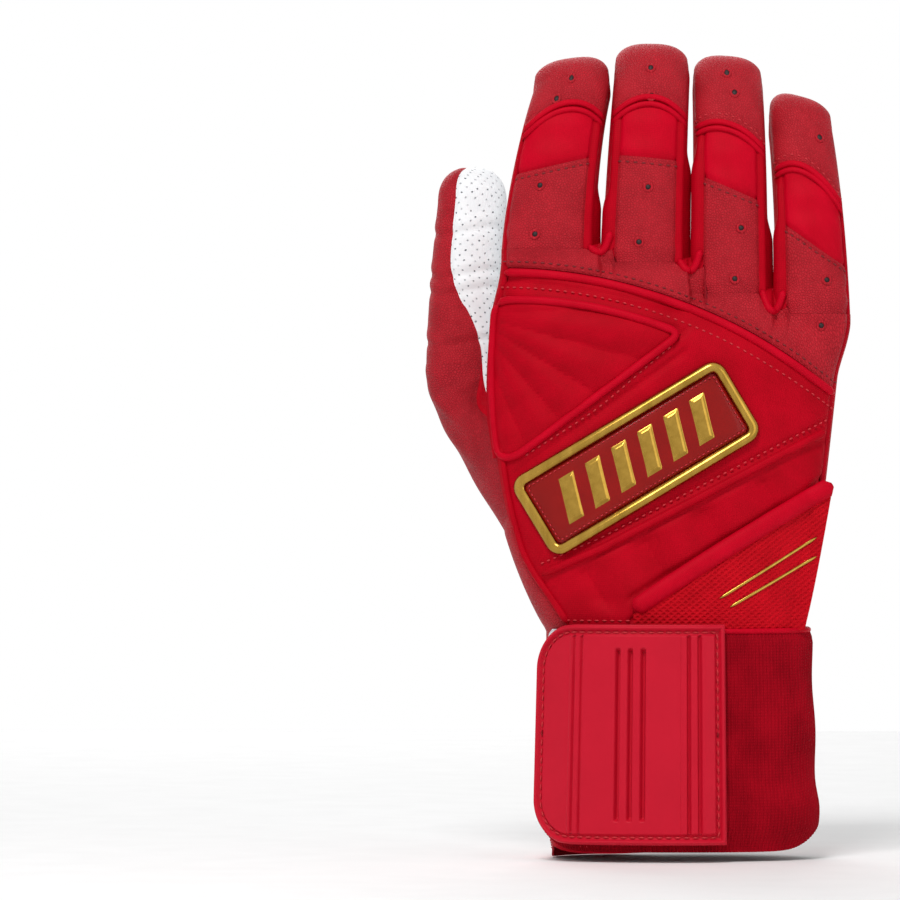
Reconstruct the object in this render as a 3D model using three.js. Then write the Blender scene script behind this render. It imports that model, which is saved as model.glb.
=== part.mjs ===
// A right-hand batting glove with a long knit cuff, standing as it is worn: fingers up (+Z), the back of
// the hand towards -Y, the palm towards +Y, the thumb at -X. Millimetres, origin in the cuff's mouth.
import * as THREE from "three";

// Driving dimensions
const LEATHER = 1.1; // thickness of leather, spandex and side strips
const SEAM = 0.3; // clear gap between two pieces that meet
const ROUNDNESS = 2.4; // exponent of the rounded sections of hand, fingers and cuff

const CUFF_HEIGHT = 64;
const CUFF_HALF_WIDTH_MOUTH = 41.5;
const CUFF_HALF_WIDTH_WRIST = 39.6;
const CUFF_HALF_DEPTH = 24;
const CUFF_KNIT = 1.8;
const WRIST_CLEARANCE = 0.5; // between the hand's hem and the inside of the cuff
const HEM_TUCK = 5; // length of the hand's hem inside the cuff

const HAND_LENGTH = 111; // wrist to the root of the index finger
const PALM_HALF_DEPTH = 17;
const THUMB_BULGE = 8; // how far the ball of the thumb swells the outline
const KNUCKLE_RAMP = 19; // length over which the hand takes the fingers' section
const CROTCH_HALF_DEPTH = 3; // half of the hand's depth between two fingers
const FINGER_GAP = 1.8;
const LAID = 0.5; // lift of a piece that is laid on a curved face
const SIDE_STRIP_SHARE = 0.1; // share of a finger's half width that the side strip takes

// One row for each finger: widths across root and tip, drop of the root below the index root, lengths along
// the finger from its root to the middle knuckle, to the tip cap and to the end, sideways lean and sewn curl.
const FINGERS = [
  { name: "index", root: 27.6, tip: 21.6, drop: 0, knuckle: 24, cap: 38, length: 58, lean: 9.6, curl: 40 },
  { name: "middle", root: 24.4, tip: 21.8, drop: 4, knuckle: 30, cap: 44, length: 67, lean: 3.4, curl: 42 },
  { name: "ring", root: 22.4, tip: 20.4, drop: 13, knuckle: 30, cap: 46, length: 73, lean: -0.4, curl: 40 },
  { name: "little", root: 22.0, tip: 18.0, drop: 19, knuckle: 20, cap: 39, length: 66, lean: -4.0, curl: 32 },
];
const LEAN_GROWTH = 1.6; // power of the length by which the lean grows towards the tip
const FINGER_HALF_DEPTH_ROOT = 9.6;
const FINGER_HALF_DEPTH_TIP = 8.2;
const FINGERTIP_REACH = 11; // length of the rounded end of a finger
const CAP_WRAP = 122; // degrees that a tip cap turns round the end of its finger

const THUMB_WIDTH = 21.4;
const THUMB_DEPTH = 21;
const THUMB_LENGTH = 58;
const THUMB_ROOT_HEIGHT = 78; // of the thumb's lower ring above the wrist
const THUMB_CLEARANCE = 0.7; // sideways from the index finger's outer side to the thumb
const THUMB_FORWARD = 20; // of the thumb's axis in front of the hand's middle plane
const THUMB_SEAM_BACK = 116; // degrees from the finger side, round the back, to the red leather
const THUMB_SEAM_PALM = 60; // degrees from the finger side, round the palm, to the red leather
const THUMB_SEAM_WEB = 60; // degrees from the finger side, round the back, to the root's gusset
const THUMB_HOLE_HEIGHT = 40; // height of the sewn rim of the thumb root
const THUMB_HOLE_MIDDLE = 44; // of that rim above the wrist

const PAD_HEIGHT = 48;
const PAD_WIDTH = 48;
const PAD_FOAM = 2.2;
const BADGE_LENGTH = 66;
const BADGE_WIDTH = 23.5;
const BADGE_TILT = 31;
const BADGE_CENTRE_X = -11.6;
const BADGE_CENTRE_HEIGHT = 49; // above the wrist
const BADGE_THICKNESS = 2.4;
const FRAME_WIDTH = 3.2;
const BADGE_CORNER = 4.5;
const STRAP_RISE = 41; // of the strap's tip above the wrist
const STRAP_LEFT_X = -13;
const STRAP_THICKNESS = 1.4;
const PIPING = 1.8; // width of the rolled piping
const WRIST_BADGE_LENGTH = 44;
const WRIST_BADGE_WIDTH = 26;

const FLAP_HEIGHT = 13;
const FLAP_DROP = 5; // how far the flap hangs below the cuff
const TAB_LENGTH_ROUND = 72; // along the back of the cuff
const TAB_CORNER = 10;
const TAB_THICKNESS = 2.0;
const TAB_HINGE_X = 15.8;
const HOOK_TAPE = 0.7;
const TAPE_MARGIN = 5; // of the tapes inside the tab's outline

const RED_LEATHER = 0xaa2a33;
const RED_SPANDEX = 0xbe0019;
const RED_KNIT = 0x98001a;
const RED_RUBBER = 0xc81c32;
const WHITE_LEATHER = 0xebeef0;
const GOLD = 0xc8a546;
const TAPE_GREY = 0xd8d8d8;

const lerp = THREE.MathUtils.lerp;
const radians = THREE.MathUtils.degToRad;
const ease = (t) => THREE.MathUtils.smoothstep(t, 0, 1);
const halfSeam = SEAM / 2;
const wristZ = CUFF_HEIGHT;
const wristHalfWidth = CUFF_HALF_WIDTH_WRIST - CUFF_KNIT - WRIST_CLEARANCE;
const wristHalfDepth = CUFF_HALF_DEPTH - CUFF_KNIT - WRIST_CLEARANCE;
const glove = new THREE.Group();

// The other coordinate on the unit rounded section.
function roundedSide(c) {
  return Math.pow(Math.max(0, 1 - Math.pow(Math.abs(c), ROUNDNESS)), 1 / ROUNDNESS);
}

// A power of cosine or sine that keeps its sign, for walking round a rounded section.
function roundedPower(c) {
  return Math.sign(c) * Math.pow(Math.abs(c), 2 / ROUNDNESS);
}

// A thin closed solid from a grid of points. place(u, v, depth) gives a point for u and v from 0 to 1,
// at depth 0 on the outer face and at the given thickness on the inner face.
function sheetSolid(name, colour, columns, rows, thickness, place, ring = false) {
  const across = ring ? columns : columns + 1;
  const layer = across * (rows + 1);
  const points = [];
  for (const depth of [0, thickness]) {
    for (let j = 0; j <= rows; j++) {
      for (let i = 0; i < across; i++) points.push(...place(i / columns, j / rows, depth));
    }
  }
  const at = (i, j, side) => side * layer + j * across + (ring ? i % columns : i);
  const faces = [];
  const quad = (a, b, c, d) => faces.push(a, b, c, a, c, d);
  for (let j = 0; j < rows; j++) {
    for (let i = 0; i < columns; i++) {
      quad(at(i, j, 0), at(i + 1, j, 0), at(i + 1, j + 1, 0), at(i, j + 1, 0));
      quad(at(i, j, 1), at(i, j + 1, 1), at(i + 1, j + 1, 1), at(i + 1, j, 1));
    }
  }
  for (let i = 0; i < columns; i++) {
    quad(at(i, 0, 0), at(i, 0, 1), at(i + 1, 0, 1), at(i + 1, 0, 0));
    quad(at(i, rows, 0), at(i + 1, rows, 0), at(i + 1, rows, 1), at(i, rows, 1));
  }
  for (let j = 0; j < rows && !ring; j++) {
    quad(at(0, j, 0), at(0, j + 1, 0), at(0, j + 1, 1), at(0, j, 1));
    quad(at(columns, j, 0), at(columns, j, 1), at(columns, j + 1, 1), at(columns, j + 1, 0));
  }
  const metal = colour === GOLD;
  const geometry = new THREE.BufferGeometry();
  geometry.setAttribute("position", new THREE.Float32BufferAttribute(points, 3));
  geometry.setIndex(facingOut(points, faces));
  geometry.computeVertexNormals();
  const finish = { color: colour, roughness: metal ? 0.3 : 0.7, metalness: metal ? 1 : 0 };
  const mesh = new THREE.Mesh(geometry, new THREE.MeshStandardMaterial(finish));
  mesh.name = name;
  glove.add(mesh);
}

// The same triangles, turned round where they enclose a negative volume.
function facingOut(points, faces) {
  const corner = (k) => new THREE.Vector3().fromArray(points, 3 * faces[k]);
  let volume = 0;
  for (let k = 0; k < faces.length; k += 3) {
    volume += corner(k).dot(corner(k + 1).cross(corner(k + 2)));
  }
  if (volume > 0) return faces;
  return faces.map((_, k) => faces[k - (k % 3) + [0, 2, 1][k % 3]]);
}

// The row of fingers, stacked side by side from the index finger at -X
const rowWidth = FINGERS.reduce((sum, f) => sum + f.root, 0) + FINGER_GAP * (FINGERS.length - 1);
const rowLeft = -rowWidth / 2;
let nextLeft = rowLeft;
for (const finger of FINGERS) {
  finger.x = nextLeft + finger.root / 2;
  finger.z = wristZ + HAND_LENGTH - finger.drop;
  nextLeft += finger.root + FINGER_GAP;
}
const indexFinger = FINGERS[0];
const littleFinger = FINGERS[FINGERS.length - 1];

// Height of the hand's upper edge and half depth of its section there, at x along the row of fingers.
function knuckleEdge(x, inset) {
  for (let k = 0; k < FINGERS.length; k++) {
    const f = FINGERS[k];
    const c = (x - f.x) / (f.root / 2);
    if (c <= 1) {
      if (c < -1 && k > 0) {
        const before = FINGERS[k - 1];
        const t = (x - before.x - before.root / 2) / FINGER_GAP;
        return { z: lerp(before.z, f.z, ease(t)), depth: CROTCH_HALF_DEPTH - inset };
      }
      const free = (k === 0 && c < 0) || (k === FINGERS.length - 1 && c > 0);
      const depth = (FINGER_HALF_DEPTH_ROOT - inset) * roundedSide(Math.max(-1, c));
      return { z: f.z, depth: free ? depth : Math.max(CROTCH_HALF_DEPTH - inset, depth) };
    }
  }
  return { z: littleFinger.z, depth: 0 };
}

// How far an inset moves a point sideways: fully at the hand's two edges, not at all across its faces.
const EDGE_ZONE = 0.1; // share of the width
function edgePull(share, inset) {
  const near = (distance) => THREE.MathUtils.clamp(1 - distance / EDGE_ZONE, 0, 1);
  return inset * (near(share) - near(1 - share));
}

// The hand's outline and half depth at height z.
function handOutline(z, inset) {
  const t = THREE.MathUtils.clamp((z - wristZ) / HAND_LENGTH, 0, 1);
  const bulge = THUMB_BULGE * Math.sin(Math.PI * Math.pow(t, 0.8));
  const left = lerp(-wristHalfWidth, rowLeft, Math.sin((Math.PI / 2) * t)) - bulge;
  const right = lerp(wristHalfWidth, -rowLeft, Math.pow(t, 0.8));
  return { left, right, depth: lerp(wristHalfDepth, PALM_HALF_DEPTH, ease(t * 1.6)) - inset };
}

// A point of the hand: share of the width from the thumb side, height, and side (-1 back, +1 palm).
function handPoint(share, z, side, inset) {
  const top = rowLeft + share * rowWidth;
  const edge = knuckleEdge(top, inset);
  const outline = handOutline(z, inset);
  const toFingers = ease((z - edge.z + KNUCKLE_RAMP) / KNUCKLE_RAMP);
  const x = lerp(lerp(outline.left, outline.right, share), top, toFingers) + edgePull(share, inset);
  const y = lerp(outline.depth * roundedSide(2 * share - 1), edge.depth, toFingers);
  return [x, side * y, z];
}

const topOf = (share) => knuckleEdge(rowLeft + share * rowWidth, 0).z - halfSeam;
const hemZ = wristZ - HEM_TUCK;
const thumbSideShare = (SIDE_STRIP_SHARE * indexFinger.root) / 2 / rowWidth;
const littleSideShare = (SIDE_STRIP_SHARE * littleFinger.root) / 2 / rowWidth;
const seamShare = halfSeam / rowWidth;

// Columns that follow the fingers: closer together at each finger's edges.
const columnShares = [];
for (const f of FINGERS) {
  for (const c of [-1, -0.75, 0, 0.75, 1]) {
    columnShares.push((f.x + (c * f.root) / 2 - rowLeft) / rowWidth);
  }
}
columnShares[0] = thumbSideShare + seamShare;
columnShares[1] = lerp(columnShares[0], columnShares[2], 0.3);
columnShares[columnShares.length - 1] = 1 - littleSideShare - seamShare;
columnShares[columnShares.length - 2] = lerp(columnShares.at(-1), columnShares.at(-3), 0.3);
const handColumns = columnShares.length - 1;

// Height of a row of the hand: the first row is the hem inside the cuff, the second clears the cuff.
function handRow(v, rows, top) {
  const row = Math.round(v * rows);
  return row === 0 ? hemZ : lerp(wristZ + SEAM, top, (row - 1) / (rows - 1));
}

// Palm leather, drawn in at the thumb side where the thumb's hole is.
const holeMiddle = wristZ + THUMB_HOLE_MIDDLE;
const holeBottom = holeMiddle - THUMB_HOLE_HEIGHT / 2;
const holeTop = holeMiddle + THUMB_HOLE_HEIGHT / 2;
const holeDepthShare = 0.1;
function holeShare(z) {
  const t = (z - holeBottom) / THUMB_HOLE_HEIGHT;
  return t > 0 && t < 1 ? holeDepthShare * Math.sin(Math.PI * t) : 0;
}
const PALM_ROWS = 11;
sheetSolid("palm_leather", WHITE_LEATHER, handColumns, PALM_ROWS, LEATHER, (u, v, d) => {
  const share = columnShares[Math.round(u * handColumns)];
  const z = handRow(v, PALM_ROWS, topOf(share));
  const drawn = holeShare(z);
  return handPoint(drawn + share * (1 - drawn), z, 1, d);
});

// The line where the knuckle leather meets the spandex back, falling towards the little finger.
const KNUCKLE_LINE_INDEX = 7.5; // below the index root
const KNUCKLE_LINE_LITTLE = 19; // below the little finger's root
const KNUCKLE_LINE_BOW = 3;
function knuckleLine(share) {
  const from = indexFinger.z - KNUCKLE_LINE_INDEX;
  const to = littleFinger.z - KNUCKLE_LINE_LITTLE;
  return lerp(from, to, Math.pow(share, 1.5)) + KNUCKLE_LINE_BOW * Math.sin(Math.PI * share);
}
const BACK_ROWS = 9;
sheetSolid("back_panel", RED_SPANDEX, handColumns, BACK_ROWS, LEATHER, (u, v, d) => {
  const share = columnShares[Math.round(u * handColumns)];
  return handPoint(share, handRow(v, BACK_ROWS, knuckleLine(share) - halfSeam), -1, d);
});
sheetSolid("knuckle_leather", RED_LEATHER, handColumns, 2, LEATHER, (u, v, d) => {
  const share = columnShares[Math.round(u * handColumns)];
  return handPoint(share, lerp(knuckleLine(share) + halfSeam, topOf(share), v), -1, d);
});

// A strip along an edge of the hand. The walk w runs from -1 at the back seam to +1 at the palm seam.
function sideStrip(name, colour, rows, from, to, width, atThumb) {
  sheetSolid(name, colour, 6, rows, LEATHER, (u, v, d) => {
    const w = 2 * u - 1;
    const inner = (width - seamShare) * w * w;
    const share = atThumb ? inner : 1 - inner;
    const z = from === hemZ ? handRow(v, rows, to) : lerp(from, to, v);
    return handPoint(share, z, w < 0 ? -1 : 1, d);
  });
}
sideStrip("thumb_side_leather", RED_LEATHER, 4, hemZ, holeBottom - halfSeam, thumbSideShare, true);
sideStrip("index_side_gusset", RED_SPANDEX, 5, holeTop + halfSeam, indexFinger.z - halfSeam, thumbSideShare, true);
sideStrip("little_side_gusset", RED_SPANDEX, 9, hemZ, littleFinger.z - halfSeam, littleSideShare, false);

// A finger's middle line: how far it has turned and moved towards the palm at distance s from its root.
// Half of the sewn curl is at the middle knuckle and half at the end joint, each spread over a bend.
const BEND_LENGTH = 22;
function turned(f, s) {
  const endJoint = (f.cap + f.length) / 2 - FINGERTIP_REACH / 2;
  const bend = (at) => ease((s - at) / BEND_LENGTH + 0.5);
  return radians(f.curl / 2) * (bend(f.knuckle + BEND_LENGTH / 4) + bend(endJoint));
}
function middleLine(f, s) {
  const steps = Math.max(1, Math.ceil(s));
  let y = f.y ?? 0;
  let z = f.z;
  for (let k = 0; k < steps; k++) {
    const angle = turned(f, ((k + 0.5) * s) / steps);
    y += (Math.sin(angle) * s) / steps;
    z += (Math.cos(angle) * s) / steps;
  }
  return { y, z, angle: turned(f, s) };
}

// A point of a finger: across and forward in its unit section, s along it, and t in its rounded end.
function fingerPoint(f, across, forward, s, t, inset) {
  const share = s / f.length;
  const reach = (f.reach ?? FINGERTIP_REACH) - inset;
  const half = lerp(f.root, f.tip, share) / 2 - inset;
  const deep = lerp(f.depthRoot ?? FINGER_HALF_DEPTH_ROOT, f.depthTip ?? FINGER_HALF_DEPTH_TIP, share) - inset;
  const line = middleLine(f, s + t * reach);
  const y = line.y + deep * forward * Math.cos(line.angle);
  const z = line.z - deep * forward * Math.sin(line.angle);
  return [f.x + f.lean * Math.pow(Math.max(0, share), LEAN_GROWTH) + half * across, y, z];
}

// The front or back wall of a finger from s = from to s = to, and on round the end by the angle wrap.
const wallEdge = 1 - SIDE_STRIP_SHARE;
function fingerWall(f, name, colour, side, from, to, rows, wrap, wrapRows) {
  const edge = wallEdge - halfSeam / f.root;
  const total = rows + wrapRows;
  sheetSolid(name, colour, 6, total, LEATHER, (u, v, d) => {
    const across = edge * Math.sin(lerp(-1, 1, u) * (Math.PI / 2));
    const rim = roundedSide(across);
    const row = v * total;
    if (row <= rows) return fingerPoint(f, across, side * rim, lerp(from, to, row / rows), 0, d);
    const angle = (radians(wrap) * (row - rows)) / wrapRows;
    const forward = side * rim * roundedPower(Math.cos(angle));
    return fingerPoint(f, across, forward, to, rim * roundedPower(Math.sin(angle)), d);
  });
}

// A side strip of a finger, narrowing to its end where it reaches into the rounded fingertip.
function fingerSide(f, name, side, from, to, rows, reaches) {
  const edge = wallEdge + halfSeam / f.root;
  const deepest = reaches ? 0.8 * roundedSide(edge) : 0;
  sheetSolid(name, RED_SPANDEX, 4, rows, LEATHER, (u, v, d) => {
    const s = lerp(from, to, Math.min(1, v * (reaches ? 1.25 : 1)));
    const t = deepest * Math.max(0, 5 * v - 4);
    const left = roundedSide(t);
    const widest = Math.acos(Math.pow(edge / left, ROUNDNESS / 2));
    const angle = lerp(-widest, widest, u);
    return fingerPoint(f, side * left * roundedPower(Math.cos(angle)), left * roundedPower(Math.sin(angle)), s, t, d);
  });
}

for (const f of FINGERS) {
  const root = halfSeam;
  const below = f.knuckle - halfSeam;
  const above = f.knuckle + halfSeam;
  const dome = f.length - FINGERTIP_REACH;
  fingerWall(f, f.name + "_palm_lower", WHITE_LEATHER, 1, root, below, 3, 0, 0);
  fingerWall(f, f.name + "_back_lower", RED_LEATHER, -1, root, below, 3, 0, 0);
  fingerSide(f, f.name + "_side_a_lower", -1, root, below, 3, false);
  fingerSide(f, f.name + "_side_b_lower", 1, root, below, 3, false);
  fingerWall(f, f.name + "_palm_upper", WHITE_LEATHER, 1, above, dome, 5, 180 - CAP_WRAP - 3, 2);
  fingerWall(f, f.name + "_knuckle_band", RED_SPANDEX, -1, above, f.cap - halfSeam, 3, 0, 0);
  fingerWall(f, f.name + "_tip_cap", RED_LEATHER, -1, f.cap + halfSeam, dome, 2, CAP_WRAP, 6);
  fingerSide(f, f.name + "_side_a_upper", -1, above, dome, 5, true);
  fingerSide(f, f.name + "_side_b_upper", 1, above, dome, 5, true);
}

// The thumb stands beside the hand and in front of it, and bends forward at its lower ring.
const thumb = {
  x: rowLeft - THUMB_CLEARANCE - THUMB_WIDTH / 2,
  y: THUMB_FORWARD,
  z: wristZ + THUMB_ROOT_HEIGHT,
  root: THUMB_WIDTH,
  tip: THUMB_WIDTH * 0.94,
  depthRoot: THUMB_DEPTH / 2,
  depthTip: (THUMB_DEPTH / 2) * 0.9,
  reach: THUMB_WIDTH / 2,
  length: THUMB_LENGTH,
  knuckle: THUMB_LENGTH * 0.4,
  cap: THUMB_LENGTH * 0.6,
  lean: 0,
  curl: 10,
};
const THUMB_DOME_ROWS = 5;
const THUMB_STRAIGHT_ROWS = 6;
const THUMB_TIP_HOLE = 0.12; // of the section, where the seams run together
function thumbHalf(name, colour, columns, from, to) {
  const rows = THUMB_STRAIGHT_ROWS + THUMB_DOME_ROWS;
  const dome = thumb.length - thumb.reach;
  const last = Math.acos(Math.pow(THUMB_TIP_HOLE, ROUNDNESS / 2));
  sheetSolid(name, colour, columns, rows, LEATHER, (u, v, d) => {
    const row = v * rows;
    const s = lerp(halfSeam, dome, Math.min(1, row / THUMB_STRAIGHT_ROWS));
    const rise = (Math.max(0, row - THUMB_STRAIGHT_ROWS) / THUMB_DOME_ROWS) * last;
    const left = roundedPower(Math.cos(rise));
    const gap = halfSeam / (left * thumb.reach);
    const angle = lerp(radians(from) + gap, radians(to) - gap, u);
    const across = left * roundedPower(Math.cos(angle));
    return fingerPoint(thumb, across, left * roundedPower(Math.sin(angle)), s, roundedPower(Math.sin(rise)), d);
  });
}
thumbHalf("thumb_pad", WHITE_LEATHER, 12, -THUMB_SEAM_BACK, THUMB_SEAM_PALM);
thumbHalf("thumb_back", RED_LEATHER, 12, THUMB_SEAM_PALM, 360 - THUMB_SEAM_BACK);

// The thumb root: three sewn pieces from a rim on the hand's thumb side up to the thumb's lower ring.
const rimMiddleWalk = 0.15; // signed square root of the share of the hand's width, + on the palm side
const rimHalfWalk = 0.3;
const rimHalfHeight = THUMB_HOLE_HEIGHT / 2 + 2;
const rimTwist = Math.PI / 6; // of the rim against the thumb's ring, so that the web falls short
const MOUND_SWELL = 3; // on the outer side, with none in the web
const rootGap = halfSeam / (THUMB_WIDTH / 2);
function moundPoint(angle, v) {
  const turn = rimTwist - angle;
  const walk = rimMiddleWalk + rimHalfWalk * Math.cos(turn);
  const rimZ = holeMiddle + rimHalfHeight * Math.sin(turn);
  const rim = handPoint(walk * walk, rimZ, walk < 0 ? -1 : 1, -SEAM - LEATHER);
  const ring = fingerPoint(thumb, roundedPower(Math.cos(angle)), roundedPower(Math.sin(angle)), 0, 0, 0);
  const swell = MOUND_SWELL * Math.sin(Math.PI * v) * (0.5 - 0.5 * Math.cos(angle));
  const point = new THREE.Vector3().fromArray(rim).lerp(new THREE.Vector3().fromArray(ring), v);
  return point.add(new THREE.Vector3(swell * Math.cos(angle), swell * Math.sin(angle), -halfSeam * v));
}
const NORMAL_STEP = 0.02; // of the angle and of the way up, for finding the mound's normal
function thumbRoot(name, colour, columns, from, to) {
  sheetSolid(name, colour, columns, 4, LEATHER, (u, v, d) => {
    const angle = lerp(radians(from) + rootGap, radians(to) - rootGap, u);
    const round = moundPoint(angle + NORMAL_STEP, v).sub(moundPoint(angle - NORMAL_STEP, v));
    const up = moundPoint(angle, v + NORMAL_STEP).sub(moundPoint(angle, v - NORMAL_STEP));
    const inward = up.cross(round);
    inward.z *= 1 - v;
    return moundPoint(angle, v).add(inward.setLength(d)).toArray();
  });
}
thumbRoot("thumb_web_leather", WHITE_LEATHER, 8, -THUMB_SEAM_WEB, THUMB_SEAM_PALM);
thumbRoot("thumb_root_leather", RED_LEATHER, 12, THUMB_SEAM_PALM, 360 - THUMB_SEAM_BACK);
thumbRoot("thumb_root_gusset", RED_SPANDEX, 4, -THUMB_SEAM_BACK, -THUMB_SEAM_WEB);

// Pieces laid on the back of the hand are placed by x and z and lifted off the surface.
function onBack(x, z, lift) {
  let low = 0;
  let high = 1;
  for (let k = 0; k < 24; k++) {
    const middle = (low + high) / 2;
    if (handPoint(middle, z, -1, -lift)[0] < x) low = middle;
    else high = middle;
  }
  return handPoint((low + high) / 2, z, -1, -lift);
}

// The rounded triangle of the moulded pad over the first two knuckles.
const padTop = wristZ + HAND_LENGTH - 17;
const padEdge = 4; // in from the hand's outline
sheetSolid("knuckle_pad", RED_SPANDEX, 8, 7, PAD_FOAM, (u, v, d) => {
  const z = padTop - PAD_HEIGHT * v;
  const left = handOutline(z, 0).left + padEdge;
  const right = left + Math.max(3, PAD_WIDTH * (1 - v));
  return onBack(lerp(left, right, u), z, LAID + PAD_FOAM - d);
});

// The points of a rounded rectangle, as a closed walk with steps round its corners and along its sides.
const CORNER_STEPS = 3;
function roundedRectangle(length, width, corner, inset, longSteps, shortSteps) {
  const a = length / 2 - inset;
  const b = width / 2 - inset;
  const r = Math.max(0.4, corner - inset);
  const corners = [[a - r, b - r], [r - a, b - r], [r - a, r - b], [a - r, r - b]];
  const points = [];
  corners.forEach(([cx, cz], k) => {
    const [nx, nz] = corners[(k + 1) % 4];
    const steps = k % 2 ? shortSteps : longSteps;
    const turnAt = (t) => (k + t) * (Math.PI / 2);
    for (let i = 0; i <= CORNER_STEPS; i++) {
      const turn = turnAt(i / CORNER_STEPS);
      points.push([cx + r * Math.cos(turn), cz + r * Math.sin(turn)]);
    }
    for (let i = 1; i < steps; i++) {
      const turn = turnAt(1);
      points.push([lerp(cx, nx, i / steps) + r * Math.cos(turn), lerp(cz, nz, i / steps) + r * Math.sin(turn)]);
    }
  });
  return points;
}

// A badge: a gold frame round a domed plate, both bent to the surface that lay(x, z, lift) gives.
const BADGE_LONG_STEPS = 7;
const BADGE_SHORT_STEPS = 3;
function badge(prefix, length, width, lay) {
  const walk = (inset) => {
    return roundedRectangle(length, width, BADGE_CORNER, inset, BADGE_LONG_STEPS, BADGE_SHORT_STEPS);
  };
  const loops = [walk(0), walk(FRAME_WIDTH)];
  const steps = loops[0].length;
  sheetSolid(prefix + "_frame", GOLD, steps, 1, BADGE_THICKNESS, (u, v, d) => {
    const [x, z] = loops[v][Math.round(u * steps) % steps];
    return lay(x, z, LAID + BADGE_THICKNESS - d);
  }, true);
  const half = width / 2 - FRAME_WIDTH - SEAM;
  const long = length / 2 - FRAME_WIDTH - SEAM;
  const corner = Math.max(0.4, BADGE_CORNER - FRAME_WIDTH);
  sheetSolid(prefix + "_plate", RED_RUBBER, 12, 4, BADGE_THICKNESS * 0.7, (u, v, d) => {
    const z = lerp(-half, half, v);
    const reach = Math.abs(z) > half - corner ? long - corner * 0.3 : long;
    return lay(lerp(-reach, reach, u), z, LAID + BADGE_THICKNESS * 0.7 - d);
  });
}
const badgeTilt = radians(BADGE_TILT);
badge("badge", BADGE_LENGTH, BADGE_WIDTH, (x, z, lift) => {
  const bx = BADGE_CENTRE_X + x * Math.cos(badgeTilt) - z * Math.sin(badgeTilt);
  const bz = wristZ + BADGE_CENTRE_HEIGHT + x * Math.sin(badgeTilt) + z * Math.cos(badgeTilt);
  return onBack(bx, bz, lift);
});

// The power strap: a woven triangle from the middle of the wrist up to the little finger's edge.
const strapFoot = wristZ + 3;
const strapEdge = 1.5; // in from the hand's outline
const strapTopAt = (u) => strapFoot + 2 + (STRAP_RISE - 5) * u;
const strapX = (u, z) => lerp(STRAP_LEFT_X, handOutline(z, 0).right - strapEdge, u);
sheetSolid("power_strap", RED_RUBBER, 10, 4, STRAP_THICKNESS, (u, v, d) => {
  const z = lerp(strapFoot, strapTopAt(u), v);
  return onBack(strapX(u, z), z, LAID + STRAP_THICKNESS - d);
});
sheetSolid("strap_piping", RED_RUBBER, 12, 1, PIPING, (u, v, d) => {
  const z = strapTopAt(u) + SEAM + PIPING * v;
  return onBack(strapX(u, z), z, LAID + PIPING - d);
});
sheetSolid("knuckle_welt", RED_SPANDEX, handColumns, 1, PIPING / 2, (u, v, d) => {
  const share = columnShares[Math.round(u * handColumns)];
  return handPoint(share, knuckleLine(share) + PIPING * (v - 0.5), -1, d - LAID - PIPING / 2);
});

// The knit cuff. A point of it: angle round from +X through the palm, height and lift off the surface.
function cuffPoint(angle, z, lift) {
  const t = z / CUFF_HEIGHT;
  const half = lerp(CUFF_HALF_WIDTH_MOUTH, CUFF_HALF_WIDTH_WRIST, t) + lift;
  const deep = CUFF_HALF_DEPTH + lift;
  return [half * roundedPower(Math.cos(angle)), deep * roundedPower(Math.sin(angle)), z];
}
const cuffAngle = (x, z) => {
  const half = lerp(CUFF_HALF_WIDTH_MOUTH, CUFF_HALF_WIDTH_WRIST, z / CUFF_HEIGHT);
  const c = THREE.MathUtils.clamp(x / half, -1, 1);
  return Math.acos(Math.sign(c) * Math.pow(Math.abs(c), ROUNDNESS / 2));
};
sheetSolid("cuff_sleeve", RED_KNIT, 36, 3, CUFF_KNIT, (u, v, d) => {
  return cuffPoint(2 * Math.PI * u, v * CUFF_HEIGHT, -d);
}, true);
badge("wrist_badge", WRIST_BADGE_LENGTH, WRIST_BADGE_WIDTH, (x, z, lift) => {
  const height = CUFF_HEIGHT / 2 + z;
  return cuffPoint(cuffAngle(x, height), height, lift);
});

// The closure: a flap round the cuff's mouth, a loop tape on the knit, and the tab with its hook tape.
const loopLift = SEAM + HOOK_TAPE;
const hookLift = loopLift + SEAM + HOOK_TAPE;
const tabLift = hookLift + SEAM + TAB_THICKNESS;
const flapFrom = radians(105);
const flapTo = radians(255);
sheetSolid("cuff_flap", RED_LEATHER, 16, 2, LEATHER, (u, v, d) => {
  const t = Math.sin(Math.PI * u);
  const top = FLAP_HEIGHT - FLAP_DROP;
  const bottom = -FLAP_DROP * Math.min(1, 2 * t);
  return cuffPoint(lerp(flapFrom, flapTo, u), lerp(bottom, top, v), SEAM + LEATHER - d);
});

// A tape or tab on the back of the cuff, from the hinge round to the thumb side, with rounded free corners.
const tabHingeAngle = 2 * Math.PI - cuffAngle(TAB_HINGE_X, CUFF_HEIGHT / 2);
const tabSweep = TAB_LENGTH_ROUND / CUFF_HALF_WIDTH_MOUTH;
const CLOSURE_ROWS = 8;
function closurePiece(name, colour, thickness, lift, margin, bottom, top) {
  const corner = TAB_CORNER - margin;
  sheetSolid(name, colour, 10, CLOSURE_ROWS, thickness, (u, v, d) => {
    const row = Math.round(v * CLOSURE_ROWS);
    const fromEnd = corner * (1 - Math.cos((Math.PI / 6) * Math.min(row, CLOSURE_ROWS - row, 3)));
    const middle = row === CLOSURE_ROWS / 2;
    const z = middle ? (bottom + top) / 2 : row < CLOSURE_ROWS / 2 ? bottom + fromEnd : top - fromEnd;
    const nearEnd = Math.max(0, corner - Math.min(z - bottom, top - z));
    const cut = corner - Math.sqrt(Math.max(0, corner * corner - nearEnd * nearEnd));
    const free = tabHingeAngle - tabSweep + (cut + margin) / CUFF_HALF_WIDTH_MOUTH;
    const from = tabHingeAngle - margin / CUFF_HALF_WIDTH_MOUTH;
    return cuffPoint(lerp(from, free, u), z, lift - d);
  });
}
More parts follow.
